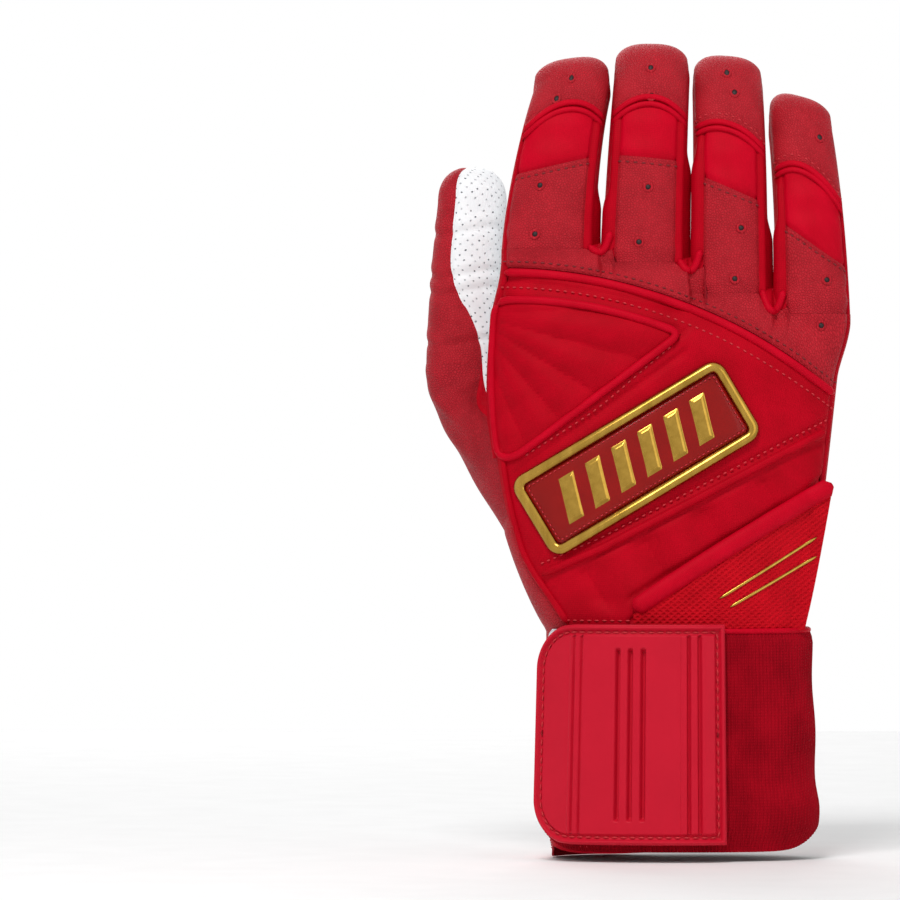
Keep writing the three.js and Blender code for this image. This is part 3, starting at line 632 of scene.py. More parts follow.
def moulded_rubber(name, light, deep, roughness):
    """Moulded PVC: even colour and a satin skin that is etched a little rough."""
    finish, tree, shader, where = start_finish(name, Roughness=roughness, Specular_IOR_Level=0.16)
    etch = patches(tree, where, ETCH, 2.0)
    slow = patches(tree, where, RUBBER_PATCH, 3.0)
    colour = dyed(tree, slow, deep, light)
    normal = pressed(tree, etch, 0.03, 0.6)
    plug(tree, shader, {"Base Color": colour, "Normal": normal})
    return finish


def gold_foil(name, roughness):
    """Hot-pressed metal foil: bright and warm, brushed by handling, darker where it has rubbed."""
    finish, tree, shader, where = start_finish(name, Metallic=1.0)
    streaks = add_node(tree, "Mapping", {"Vector": where, "Scale": BRUSHED})
    brushed = add_node(tree, "TexNoise", {"Vector": streaks, "Scale": 1.0, "Detail": 4.0})
    worn = patches(tree, where, FOIL_WEAR, 4.0)
    colour = dyed(tree, worn, "#80601E", "#C29C48")
    rough = add_node(tree, "MapRange", {"Value": brushed, "To Min": 0.7 * roughness,
                                        "To Max": 1.5 * roughness})
    normal = pressed(tree, brushed, 0.02, 0.5)
    plug(tree, shader, {"Base Color": colour, "Roughness": rough, "Normal": normal})
    return finish


def resin_dome(name):
    """Clear resin poured over red ink: deep colour under a hard wet gloss."""
    finish, tree, shader, where = start_finish(name, Roughness=0.32, Specular_IOR_Level=0.1,
                                               Coat_Weight=0.16, Coat_Roughness=0.05)
    slow = patches(tree, where, INK_PATCH, 2.0)
    colour = dyed(tree, slow, "#7C0806", "#960E0A")
    normal = pressed(tree, slow, 0.15, 0.4)
    plug(tree, shader, {"Base Color": colour, "Normal": normal})
    return finish


RUBBER = moulded_rubber("red_moulded_rubber", "#CC122E", "#BE0E28", 0.5)
GOLD = gold_foil("gold_foil", 0.2)
RESIN = resin_dome("red_resin_dome")
print("trim", RUBBER.name, GOLD.name, RESIN.name)

# %% [markdown]
# Three small finishes remain: the brushed loop tape, spun thread, and the painted shade inside a vent.

# %% Tape, thread and vent
THREAD_TWIST, TAPE_PILE = 0.5, 0.35


def spun_thread(name, light, deep):
    """Bonded polyester thread: twisted, so it is light and dark along its length."""
    finish, tree, shader, where = start_finish(name, Roughness=0.6, IOR=1.45)
    twist = patches(tree, where, THREAD_TWIST, 2.0)
    colour = dyed(tree, twist, deep, light)
    plug(tree, shader, {"Base Color": colour})
    return finish


def brushed_tape(name):
    """Loop tape: a felted white pile that scatters light and shows no gloss."""
    finish, tree, shader, where = start_finish(name, Roughness=0.95, IOR=1.4, Sheen_Weight=0.5)
    pile = patches(tree, where, TAPE_PILE, 5.0)
    colour = dyed(tree, pile, "#C9CDD6", "#F2F3F6")
    normal = pressed(tree, pile, 0.25, 0.9)
    plug(tree, shader, {"Base Color": colour, "Normal": normal})
    return finish


RED_THREAD = spun_thread("red_thread", "#D8303C", "#A80E1C")
DARK_THREAD = spun_thread("dark_red_thread", "#8A1019", "#5C070E")
GOLD_THREAD = spun_thread("gold_thread", "#8C6E24", "#5E4713")
# The vent's dark sheet is painted shade for the inside of a hole, made with the thread finish.
VENT_PAINTED_SHADE = spun_thread("vent_shadow", "#241012", "#140708")
LOOP_TAPE = brushed_tape("white_loop_tape")
print("threads and tape ready")

# %% [markdown]
# ## Camera, floor and light
# The camera stands square in front of the back of the hand, far away with a long lens, as for a
# product picture. The frame is a little over twice as wide as the glove, with the glove in its right
# half.

# %% Camera
FRAME_WIDTH, FRAME_X, FRAME_Z, CAMERA_AWAY = 263.0, -66.0, 116.4, 2000.0
SENSOR = 36.0
eye = bpy.data.cameras.new("photo_camera")
eye.sensor_width = SENSOR
eye.lens = SENSOR * CAMERA_AWAY / FRAME_WIDTH
eye.clip_end = 20.0
camera = bpy.data.objects.new("photo_camera", eye)
camera.location = (FRAME_X * MM, -CAMERA_AWAY * MM, FRAME_Z * MM)
camera.rotation_euler = (math.pi / 2, 0.0, 0.0)
bpy.context.scene.collection.objects.link(camera)
bpy.context.scene.camera = camera
bpy.context.scene.view_settings.view_transform = "Standard"
print("camera lens", round(eye.lens, 1), "mm")

# %% [markdown]
# Three soft lamps light the glove at a plain level, the largest share from above. The background is
# white to the camera, in mirrors and through glass. As light on the glove it counts for a third.

# %% Lamps and background
LAMP_AIM, AMBIENT = (-10.0, 0.0, 115.0), 0.36


def lamp(name, place, size, watts):
    """A soft square lamp that faces the middle of the glove."""
    light = bpy.data.lights.new(name, "AREA")
    light.size = size * MM
    light.energy = watts
    holder = bpy.data.objects.new(name, light)
    holder.location = Vector(place) * MM
    holder.rotation_euler = (Vector(LAMP_AIM) - Vector(place)).to_track_quat("-Z", "Y").to_euler()
    bpy.context.scene.collection.objects.link(holder)


lamp("key_lamp", (-300.0, -900.0, 1200.0), 500.0, 12.4)
lamp("fill_lamp", (1000.0, -900.0, 300.0), 900.0, 3.0)
lamp("back_lamp", (-200.0, 1100.0, 900.0), 900.0, 7.0)

world = bpy.data.worlds.new("studio")
bpy.context.scene.world = world
world.use_nodes = True
sky = world.node_tree
rays = sky.nodes.new("ShaderNodeLightPath")
seen = add_node(sky, "Math", {0: rays.outputs["Is Camera Ray"], 1: rays.outputs["Is Glossy Ray"]},
                operation="MAXIMUM")
seen = add_node(sky, "Math", {0: seen, 1: rays.outputs["Is Transmission Ray"]}, operation="MAXIMUM")
strength = add_node(sky, "MapRange", {"Value": seen, "To Min": AMBIENT, "To Max": 1.0})
plug(sky, sky.nodes["Background"], {"Color": (1.0, 1.0, 1.0, 1.0), "Strength": strength})
print("background", AMBIENT, "as light, 1 to the eye")

# %% [markdown]
# The floor is a sheet of pale paper just below the flap, which hangs a little higher than its solid.

# %% Floor
FLOOR_HALF, FLAP_HIGHER = 900.0, 2.2
FLOOR_Z = cad_box[0][2] / MM + FLAP_HIGHER
corners = [(FLOOR_HALF * x, FLOOR_HALF * y) for x, y in ((-1, -1), (1, -1), (1, 1), (-1, 1))]
PAPER, paper_tree, paper_shader, _ = start_finish("pale_paper", Roughness=0.9)
fibres = add_node(paper_tree, "TexNoise", {"Scale": 90.0, "Detail": 3.0})
paper = dyed(paper_tree, fibres, "#F4F4F4", "#FCFCFC")
plug(paper_tree, paper_shader, {"Base Color": paper})
floor = new_piece("paper_floor", np.array([(x, y, FLOOR_Z) for x, y in corners]), [(0, 1, 2, 3)], PAPER)
print("floor at", round(FLOOR_Z, 1), "mm")

# %% [markdown]
# ## The hand's panels
# The palm is one white hide, the back is a stretch panel, and a leather panel covers the knuckles.
# All three are sewn to each other, so each panel dips a little at its border, as cloth does where a
# seam pulls it in. Between two fingers both faces are cut out in a U, which a stretch web fills.

# %% Seams and borders of the hand
WEB_HALF, WEB_HEIGHTS, WEB_RISE, WEB_CURVE, PALM_SLIT = 4.2, (174.0, 168.6, 156.8), 1.2, 2.2, 1.7
KNUCKLE_SEAM_Z, KNUCKLE_SEAM_FALL = WRIST_Z + 105.6, 36.0
PALM_EDGE_LOW = SIDE_STRIP_SHARE * FINGERS[0].root / 2 / ROW_WIDTH
PALM_EDGE_HIGH = 1 - SIDE_STRIP_SHARE * FINGERS[-1].root / 2 / ROW_WIDTH
HEM_Z = WRIST_Z - HEM_TUCK
GAPS = [(a, b, (a.x + a.root / 2 + b.x - b.root / 2) / 2) for a, b in zip(FINGERS, FINGERS[1:])]
FINGER_MARKS, GAP_MARKS, ROUND_SIDE = 29, 5, 1.6


def tuck(distance, deep=0.55, reach=0.9):
    """How far a panel dips at a distance from its seam."""
    return -deep * np.exp(-((distance / reach) ** 2))


def share_of(x):
    """Share of the row of fingers at x."""
    return (x - ROW_LEFT) / ROW_WIDTH


def panel_top(share, half=WEB_HALF):
    """Height of the hand's upper border, with a U cut out between each two fingers."""
    x = ROW_LEFT + share * ROW_WIDTH
    z = knuckle_edge(x, 0.0)[0]
    for (a, b, middle), low in zip(GAPS, WEB_HEIGHTS):
        t = (x - middle) / half
        ends = np.where(t < 0, a.z, np.maximum(b.z, low + WEB_RISE))
        z = np.where(np.abs(t) < 1, mix(low, ends, np.abs(t) ** WEB_CURVE), z)
    return z


def knuckle_line(share):
    """Height of the seam between the stretch back and the knuckle leather."""
    return KNUCKLE_SEAM_Z - KNUCKLE_SEAM_FALL * np.clip(share, 0, 1) ** 2


def finger_columns(low, high):
    """Shares across the hand that stand closer together at the sides of each finger."""
    fine = np.sin(np.linspace(-1, 1, FINGER_MARKS) * np.pi / 2)
    between = np.linspace(-0.5, 0.5, GAP_MARKS)[1:-1] * FINGER_GAP
    marks = [share_of(f.x + fine * f.root / 2) for f in FINGERS]
    marks += [share_of(middle + between) for _, _, middle in GAPS]
    marks = np.unique(np.concatenate(marks))
    marks = marks[(marks > low) & (marks < high)]
    return np.concatenate([[low], marks, [high]])


SHARES = finger_columns(PALM_EDGE_LOW, PALM_EDGE_HIGH)
COLUMNS = len(SHARES) - 1


def share_at(u):
    """Share at u, from 0 to 1 over those columns."""
    return np.interp(u * COLUMNS, np.arange(COLUMNS + 1), SHARES)


def stall_edge(width, z, top):
    """Width of a side strip on the palm, which narrows to that of the finger's own strip."""
    return width * mix(1.0, (1 - PALM_EDGE) / SIDE_STRIP_SHARE, ease((z - top + EDGE_RUN) / EDGE_RUN))


def to_stalls(share, z):
    """Shares of the palm, drawn out at both sides where the strips narrow."""
    low, high = PALM_EDGE_LOW, 1 - PALM_EDGE_HIGH
    near_low = np.clip(1 - (share - low) / EDGE_ZONE, 0, 1) ** 2
    near_high = np.clip(1 - (1 - high - share) / EDGE_ZONE, 0, 1) ** 2
    share = share - near_low * (low - stall_edge(low, z, FINGERS[0].z))
    return share + near_high * (high - stall_edge(high, z, FINGERS[-1].z))


def side_seam(share):
    """Distance in millimetres to the nearer long seam, measured over the rounded side of the hand."""
    return np.minimum(share - PALM_EDGE_LOW, PALM_EDGE_HIGH - share) * ROW_WIDTH * ROUND_SIDE


print("hand panels have", COLUMNS, "columns; web between fingers", 2 * WEB_HALF, "mm wide")

# %% [markdown]
# The palm hide is drawn in where the thumb grows out of it. It creases where a hand closes: two soft
# folds run across it, and small ones gather below the fingers.

# %% Palm
HOLE_LOW, HOLE_HEIGHT, HOLE_SHARE = WRIST_Z + 24.0, 40.0, 0.1
# Height above the wrist at the thumb side, rise across the hand, depth and width of a fold.
PALM_FOLDS = [(62.0, 14.0, 0.8, 1.6), (84.0, -10.0, 0.7, 1.4)]
GATHER_Z, GATHER_DEEP, RUMPLE_DEEP, CALM = WRIST_Z + 96.0, 0.3, 0.42, 8.0


def mark(piece, slot, node=None):
    """Hides the solid that a piece stands for; the piece and its slot are not used."""
    if node:
        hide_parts(node)


def sew_on(piece, slot, node=None, body="hand"):
    """Fixes a piece to a body, so that it moves with it."""
    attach(piece, body)
    mark(piece, slot, node)


def palm_creases(share, z):
    """Relief of the palm: long folds, gathers below the fingers and slow rumples."""
    folds = sum(deep * bump_at(z, WRIST_Z + low + rise * share, wide)
                for low, rise, deep, wide in PALM_FOLDS)
    gather = GATHER_DEEP * np.sin(z / 2.3 + 3 * np.sin(share * 9)) * bump_at(z, GATHER_Z, 9.0)
    rumple = RUMPLE_DEEP * np.sin(share * 17 + z / 13) * np.sin(z / 9.5 - share * 6)
    return rumple + gather - folds


def palm_place(u, v, lift):
    """The palm, from its hem up to the roots of the fingers."""
    share = share_at(u)
    top = panel_top(share, PALM_SLIT)
    z = mix(HEM_Z, top, v)
    hole = np.clip((z - HOLE_LOW) / HOLE_HEIGHT, 0, 1)
    drawn = HOLE_SHARE * np.sin(np.pi * hole)
    calm = ease((z - WRIST_Z) / CALM) * ease((top - z) / CALM)
    relief = palm_creases(share, z) * calm + tuck(side_seam(share))
    return hand_point(to_stalls(drawn + share * (1 - drawn), z), z, 1, lift + relief)


palm_hide = panel("palm_hide", palm_place, COLUMNS, 120, WHITE_LEATHER, planar=True)
sew_on(palm_hide, "white_leather", "palm_leather")
print("palm hide", len(palm_hide.data.polygons), "faces")

# %% [markdown]
# The stretch back is quilted over thin foam. Below the stitched channel it shows shallow pressed folds,
# square to the badge: a row of round bumps with sharp valleys. They are real shapes, because light
# from above catches each bump. Beside a stitched line the foam swells, so the cloth dips there.

# %% Stretch back
FOLD_PITCH, FOLD_DEEP = 19.0, 2.2
CHANNEL = [(-39.2, 80.4), (-22.0, 88.0), (5.0, 102.0), (28.0, 114.0), (43.4, 121.8)]
# The two ends of a line by x and z, then how far beside it the cloth dips, and how deep.
BACK_DIPS = [((-54.0, 163.4), (2.0, 154.2), 3.2, 0.8), ((-50.0, 111.0), (4.0, 149.2), 3.0, 0.8),
             ((-41.0, 79.6), (45.0, 122.6), 2.6, 0.7), ((-16.0, 69.0), (47.0, 107.0), 3.4, 0.9)]
DIP_WIDTH, DIP_FADE, HEM_RIPPLE = 1.3, 3.0, 0.35
BADGE_TILT = math.radians(31.0)


def scallops(x):
    """A row of round bumps from 0 to 1 with sharp valleys, one bump for each unit of x."""
    return np.abs(np.sin(np.pi * x))


def height_on(start, end, x):
    """Height at x of the straight line through two points."""
    return start[1] + (x - start[0]) * (end[1] - start[1]) / (end[0] - start[0])


def pressed_folds(x, z):
    """Folds below the channel, square to the badge."""
    along = x * math.cos(BADGE_TILT) + z * math.sin(BADGE_TILT)
    below = ease((height_on(CHANNEL[0], CHANNEL[-1], x) - 2.0 - z) / 4.0)
    return FOLD_DEEP * (scallops(along / FOLD_PITCH) - 1) * below


def dip_beside(x, z, start, end, far, deep):
    """Soft dips that run along both sides of a stitched line."""
    within = ease((x - start[0]) / DIP_FADE) * ease((end[0] - x) / DIP_FADE)
    return deep * bump_at(np.abs(z - height_on(start, end, x)), far, DIP_WIDTH) * within


def back_relief(share, z):
    """Relief of the back: pressed folds, a ripple at the hem and dips beside seams."""
    left, right, _ = hand_outline(z)
    x = mix(left, right, share)
    ripple = HEM_RIPPLE * np.sin(z / 6.0 + 4 * share) * bump_at(z, WRIST_Z + 8.0, 9.0)
    dips = sum(dip_beside(x, z, *line) for line in BACK_DIPS)
    inside = ease((1 - share) / EDGE_ZONE - 0.5) * ease(share / EDGE_ZONE - 0.5)
    calm = ease((z - WRIST_Z - 4) / 6) * inside
    return pressed_folds(x, z) * calm + ripple * ease((z - WRIST_Z) / 6) - dips


def back_place(u, v, lift):
    """The stretch back, from its hem up to the knuckle leather."""
    share = share_at(u)
    top = knuckle_line(share)
    z = mix(HEM_Z, top, v)
    relief = back_relief(share, z) + tuck(side_seam(share)) + tuck(top - z, 0.8, 1.4)
    return hand_point(share, z, -1, lift + relief)


stretch_back = panel("stretch_back", back_place, COLUMNS, 110, SPANDEX)
sew_on(stretch_back, "red_spandex", "back_panel")
print("back", len(stretch_back.data.polygons), "faces")

# %% [markdown]
# The knuckle leather lies on top of the stretch back. It is drawn in between each two fingers, where
# short pleats spread down from the webs.

# %% Knuckle leather
HIDE_PROUD, PULL_DEEP, PLEAT_DEEP = 0.5, 0.3, 0.2


def knuckle_relief(share, z):
    """Relief of the knuckle leather: a pull and short pleats below each web."""
    x = ROW_LEFT + share * ROW_WIDTH
    pull = sum(bump_at(x, middle, 3.4) * bump_at(z, b.z - 6.0, 4.5) for _, b, middle in GAPS)
    pleats = sum(np.sin((x - middle) * 1.5 + (z - b.z) * 0.5) * bump_at(x, middle, 6.0)
                 * bump_at(z, b.z - 8.0, 5.0) for _, b, middle in GAPS)
    return PLEAT_DEEP * pleats - PULL_DEEP * pull


def knuckle_place(u, v, lift):
    """The knuckle leather, from its seam up to the roots of the fingers."""
    share = share_at(u)
    low, top = knuckle_line(share), panel_top(share)
    z = mix(low, top, v)
    relief = knuckle_relief(share, z) + HIDE_PROUD + tuck(side_seam(share)) + tuck(z - low, 0.5, 0.5)
    return hand_point(share, z, -1, lift + relief * ease((FINGERS[0].z + 2 - z) / 4 + 0.5))


knuckle_hide = panel("knuckle_hide", knuckle_place, COLUMNS, 44, RED_LEATHER)
sew_on(knuckle_hide, "red_leather", "knuckle_leather")
print("knuckle leather", len(knuckle_hide.data.polygons), "faces")

# %% [markdown]
# ## Finger stalls
# A finger is sewn from a white palm side, a red back, a bright stretch band over the middle knuckle, a
# leather cap that wraps over the tip, and two stretch strips along the sides. The strips roll a
# little onto the back, which leaves the raised red edges beside the leather. The seam lines slant as
# the row of knuckles does. A stall bends at its root and at its knuckle, so its panels are cut half
# way between the two.

# %% Finger wall surface
BLUNT = 3.2
INNER_EDGE, OUTER_EDGE = 0.74, 0.93
CAP_EDGE, CAP_LIFT, BACK_LIFT, GAP_FILL = 0.97, 0.45, 0.3, 1.45
PALM_REACH, STRIP_REACH, CAP_REACH = (math.radians(turn) for turn in (76.0, 87.0, CAP_WRAP))
# Slant of the lower seam, slant of the cap's seam, and how far that seam arches.
SLANTS = {"index": (2.6, 2.0, 5.2), "middle": (-1.0, -0.5, 4.8),
          "ring": (-4.1, -3.6, 3.6), "little": (-6.8, -5.7, 5.7)}
TIP_SLANTS = {"index": 0.22, "middle": -0.03, "ring": -0.12, "little": -0.32}
GAP_TOPS = (190.0, 200.0, 181.0)


def blunt_end(f, c):
    """Profile of the squarish fingertip, which stands higher on one side."""
    return np.maximum(0.0, 1.0 - np.abs(c) ** BLUNT) ** (1.0 / BLUNT) * (1.0 + TIP_SLANTS[f.name] * c)


def wall_point(f, side, across, q, lift):
    """A point of a stall's back or palm at q along it, which runs on over the tip."""
    angle = np.clip((q - f.dome) / f.reach, 0, np.pi)
    rim = rounded_side(across)
    forward = side * rim * rounded_power(np.cos(angle))
    end = blunt_end(f, across) * rounded_power(np.sin(angle))
    return f.point(across, forward, np.minimum(q, f.dome), end, lift)


def spread(u, low, high):
    """Places from low to high that stand closer together near both ends."""
    w = 2 * u - 1
    return mix(low, high, 0.5 + 0.5 * w * (1.25 - 0.25 * w * w))


def lower_line(f, across):
    """Where the back leather of the lower stall ends."""
    return f.knuckle + SLANTS[f.name][0] * across


def cap_line(f, across):
    """Where the tip cap starts, an arch that stands higher in the middle."""
    _, slant, arch = SLANTS[f.name]
    return f.cap + slant * across + arch * (0.4 - across ** 2)


def back_edges(f):
    """The back leather reaches the outline on the two outer sides of the hand."""
    left = OUTER_EDGE if f is FINGERS[0] else INNER_EDGE
    right = OUTER_EDGE if f is FINGERS[-1] else INNER_EDGE
    return -left, right


print("finger seams slant by", {name: s[0] for name, s in SLANTS.items()})

# %% [markdown]
# A panel that crosses a joint is baked where it lies and its solid is hidden. The two ends of its
# bend are looked up on the middle line, but nothing uses them.

# %% Bends and walls
ROOT_BLEND, KNUCKLE_BEFORE, KNUCKLE_AFTER = 10.0, 4.0, 6.0
WALL_COLUMNS, WALL_ROUND = 26, 0.7


def bend_at_root(piece, f, slot, node=None):
    """Bakes a piece where it lies at the root of a stall, and hides its solid."""
    f.middle(0.0)
    f.middle(ROOT_BLEND)
    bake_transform(piece)
    mark(piece, slot, node)


def bend_at_knuckle(piece, f, slot, node=None):
    """Bakes a piece where it lies at a stall's knuckle, and hides its solid."""
    f.middle(f.knuckle - KNUCKLE_BEFORE)
    f.middle(f.knuckle + KNUCKLE_AFTER)
    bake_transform(piece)
    mark(piece, slot, node)


def wall(f, part, side, first, last, edges, relief, rows, finish, columns=WALL_COLUMNS, origin=(0, 0)):
    """A back or palm panel between two lines across the stall."""
    def place(u, v, lift):
        across = spread(u, *edges)
        q = mix(first(across), last(across), v)
        seam = np.minimum(across - edges[0], edges[1] - across) * f.root * WALL_ROUND
        return wall_point(f, side, across, q, lift + relief(across, q) + tuck(seam, 0.45, 0.8))
    return panel(f"{f.name}_{part}", place, columns, rows, finish, origin=origin)


def level(value):
    """A line straight across a stall."""
    return lambda across: value + 0.0 * across


print("stalls bend over", ROOT_BLEND, "mm at the root")

# %% [markdown]
# The palm side creases across each joint, because the stall is sewn a little curled. The back leather
# pulls into short wrinkles where it runs down between two fingers.

# %% Finger reliefs
CREASE, SWELL, SWELL_AFTER, SWELL_SHARE = 1.1, 1.6, 2.4, 0.4
RIPPLE_DEEP, HEM_DEEP, BAND_DEEP = 0.14, 0.25, 0.25


def palm_folds(f):
    """Creases across the palm side, each with a slight swelling beyond it."""
    folds = [(f.knuckle, 0.75), (f.knuckle - 5.5, 0.45), (f.knuckle + 5.0, 0.45),
             (4.0, 0.4), (f.cap + 6.0, 0.45)]

    def relief(across, q):
        waver = q + 0.7 * np.sin(3.0 * across + f.x)
        return sum(SWELL_SHARE * deep * bump_at(waver, at + SWELL_AFTER, SWELL)
                   - deep * bump_at(waver, at, CREASE) for at, deep in folds)
    return relief


def back_wrinkles(f):
    """Relief of the lower back leather: short wrinkles and a sewn hem."""
    def relief(across, q):
        edge, side = lower_line(f, across) - q, np.abs(across)
        ripples = np.sin(q * 0.9 + 2.5 * side + f.x) * (0.25 + side) * bump_at(q, 4.0, 7.0)
        hem = tuck(edge, 0.3, 0.4) - HEM_DEEP * bump_at(edge, 1.5, 0.5)
        return BACK_LIFT * ease(q / 4) + RIPPLE_DEEP * ripples + hem
    return relief


def band_folds(f):
    """Relief of the knuckle band: slow folds, drawn in at its lower seam."""
    def relief(across, q):
        folds = BAND_DEEP * np.sin(q * 0.75 + f.x) * np.cos(across * 1.4)
        return folds + tuck(q - lower_line(f, across), 0.5, 1.0)
    return relief


def cap_form(f):
    """Relief of the tip cap: it stands proud and is sewn down at its base."""
    def relief(across, q):
        base = q - cap_line(f, across)
        return CAP_LIFT + tuck(base, 0.4, 0.5) - HEM_DEEP * bump_at(base, 1.6, 0.45)
    return relief


print("palm creases", CREASE, "mm wide")

# %% [markdown]
# A side strip turns from the back leather round to the palm leather. Beside another finger it swells
# low down and closes the gap, as padded stalls do.

# %% Side strips
STRIP_COLUMNS, FILL_AT, FILL_WIDTH, FILL_FADE = 16, {-1: 0.35, 1: 0.68}, 0.2, 8.0
STRIP_ROLL, STRIP_ROLL_AT, STRIP_ROLL_WIDTH = {True: 0.75, False: 0.15}, 0.16, 0.13


def side_strip(f, sign, first, last):
    """The stretch strip along a side of a stall, from the back leather round to the palm leather."""
    back = back_edges(f)[0 if sign < 0 else 1]
    closed_to = GAP_TOPS[min(max(FINGERS.index(f) - (sign < 0), 0), len(GAP_TOPS) - 1)]
    turns = [math.acos(abs(edge) ** (ROUNDNESS / 2)) for edge in (back, PALM_EDGE)]
    inner = abs(back) == INNER_EDGE

    def place(u, v, lift):
        turn = mix(-turns[0], turns[1], u)
        base = mix(abs(back), PALM_EDGE, u)
        q = mix(first, last, v)
        angle = np.maximum((q - f.dome) / f.reach, 0)
        left = rounded_power(np.cos(angle))
        across = base + (rounded_power(np.cos(turn)) - base) * left
        full = bump_at(u, FILL_AT[sign], FILL_WIDTH) * ease((closed_to - f.z - q) / FILL_FADE + 0.5)
        across = sign * (across + GAP_FILL * inner * full / (f.root / 2))
        roll = STRIP_ROLL[inner] * bump_at(u, STRIP_ROLL_AT, STRIP_ROLL_WIDTH) * ease((f.cap - q) / 5)
        lift = lift + roll + tuck(u, 0.3, 0.05) + tuck(1 - u, 0.3, 0.08)
        end = blunt_end(f, across) * rounded_power(np.sin(angle))
        return f.point(across, rounded_power(np.sin(turn)) * left, np.minimum(q, f.dome), end, lift)
    return place


print("side strips of", STRIP_COLUMNS, "columns")

# %% [markdown]
# Now each finger is sewn together. It could be one mesh with several finishes, but a glove is cut from
# separate panels.

# %% Finger panels
WEB_SUNK = 1.5
for f in FINGERS:
    start, middle = level(0.0), level(f.knuckle / 2)
    low_line, top_line = (lambda a, f=f: lower_line(f, a)), (lambda a, f=f: cap_line(f, a))
    tip, over = f.dome + PALM_REACH * f.reach, f.dome + CAP_REACH * f.reach
    edges, palm_edges, cap_edges = back_edges(f), (-PALM_EDGE, PALM_EDGE), (-CAP_EDGE, CAP_EDGE)
    palm_root = wall(f, "palm_root", 1, start, middle, palm_edges, palm_folds(f), 14, WHITE_LEATHER,
                     origin=(f.x, f.z))
    palm_end = wall(f, "palm_end", 1, middle, level(tip), palm_edges, palm_folds(f), 54, WHITE_LEATHER,
                    origin=(f.x, f.z + f.knuckle / 2))
    back_root = wall(f, "back_root", -1, start, middle, edges, back_wrinkles(f), 16, RED_LEATHER)
    back_top = wall(f, "back_top", -1, middle, low_line, edges, back_wrinkles(f), 20, RED_LEATHER,
                    origin=(0, f.knuckle / 2))
    band = wall(f, "knuckle_stretch", -1, low_line, top_line, edges, band_folds(f), 22, SPANDEX_EDGE)
    cap = wall(f, "cap", -1, top_line, level(over), cap_edges, cap_form(f), 46, RED_LEATHER, columns=40)
    bend_at_root(palm_root, f, "white_leather", f.name + "_palm_lower")
    bend_at_knuckle(palm_end, f, "white_leather", f.name + "_palm_upper")
    bend_at_root(back_root, f, "red_leather", f.name + "_back_lower")
    bend_at_knuckle(back_top, f, "red_leather", f.name + "_back_lower")
    bend_at_knuckle(band, f, "red_spandex", f.name + "_knuckle_band")
    sew_on(cap, "red_leather", f.name + "_tip_cap", f.name + "_upper")
    for letter, sign in (("a", -1), ("b", 1)):
        low = 0.0
        if sign < 0 and f is not FINGERS[0]:
            low = max(0.0, WEB_HEIGHTS[FINGERS.index(f) - 1] - WEB_SUNK - f.z)
        root = side_strip(f, sign, low, f.knuckle / 2)
        end = side_strip(f, sign, f.knuckle / 2, f.dome + STRIP_REACH * f.reach)
        root = panel(f"{f.name}_strip_{letter}_root", root, STRIP_COLUMNS, 12, SPANDEX)
        end = panel(f"{f.name}_strip_{letter}_end", end, STRIP_COLUMNS, 54, SPANDEX)
        bend_at_root(root, f, "red_spandex", f"{f.name}_side_{letter}_lower")
        bend_at_knuckle(end, f, "red_spandex", f"{f.name}_side_{letter}_upper")
    print(f.name, "stall panels made, cap from", round(f.cap, 1), "to", round(over, 1), "mm")

# %% [markdown]
# Between two fingers a stretch web turns from the back to the palm. Its rim on the back is a rounded
# roll, so each pair of fingers is joined by a red U.

# %% Webs between the fingers
WEB_ROLL, WEB_OVER, WEB_SPAN, WEB_DEPTH, WEB_FALL = 1.1, 1.8, 0.97, 0.86, 2.0
ROLL_HALF, ROLL_RISE, ROLL_OVER = 3.1, 5.0, 1.0


def web_place(middle, top):
    """A web between two fingers: u across it, v from the back to the palm."""
    def place(u, v, lift):
        share = share_of(middle + WEB_SPAN * WEB_HALF * (2 * u - 1)) + 0.0 * v
        back_z, palm_z = panel_top(share), panel_top(share, PALM_SLIT)
        back, palm = hand_point(share, back_z, -1, lift), hand_point(share, palm_z, 1, lift)
        rim_z = mix(back_z, palm_z - WEB_FALL, v)
        arch = np.sqrt(np.maximum(0.0, 1 - (2 * v - 1) ** 2))
        point = mix(back, palm, WEB_DEPTH * v[..., None] + 0 * share[..., None])
        point[..., 2] = mix(rim_z, np.maximum(top + lift, rim_z), arch)
        return point
    return place


for (a, b, middle), low in zip(GAPS, WEB_HEIGHTS):
    top = max(a.z, low) + WEB_OVER
    web = panel(f"{a.name}_{b.name}_web", web_place(middle, top), 14, 14, SPANDEX, thickness=0.6)
    t = np.linspace(-1, 1, 40)
    legs = np.where(t < 0, a.z, max(b.z, low + ROLL_RISE)) + ROLL_OVER
    rim_z = mix(low, legs, np.abs(t) ** WEB_CURVE)
    rim = [hand_point(share_of(middle + ROLL_HALF * t), rim_z, -1, lift) for lift in (0.35, 1.35)]
    roll = piping(f"{a.name}_{b.name}_roll", rim, WEB_ROLL, SPANDEX_EDGE, pitch=0.5)
    sew_on(web, "red_spandex")
    sew_on(roll, "red_spandex")
print(len(GAPS), "webs with rolled rims")

# %% [markdown]
# ## Edges of the hand
# A red leather strip runs round the edge of the hand below the thumb. Stretch gussets close the edges
# beside the index and the little finger. The leather is wider on the palm, where it is cut on the
# slant. All three use the hand's own surface on both sides of the edge, so they meet the big panels.

# %% Edge strips
HOLE_TOP = HOLE_LOW + HOLE_HEIGHT
STRIP_PROUD, GUSSET_PROUD, STRIP_SINK = 0.6, 0.1, 2.0
SLANT_LOW, SLANT_HIGH, BACK_LOW, BACK_HIGH = 0.21, 0.115, 0.085, 0.03


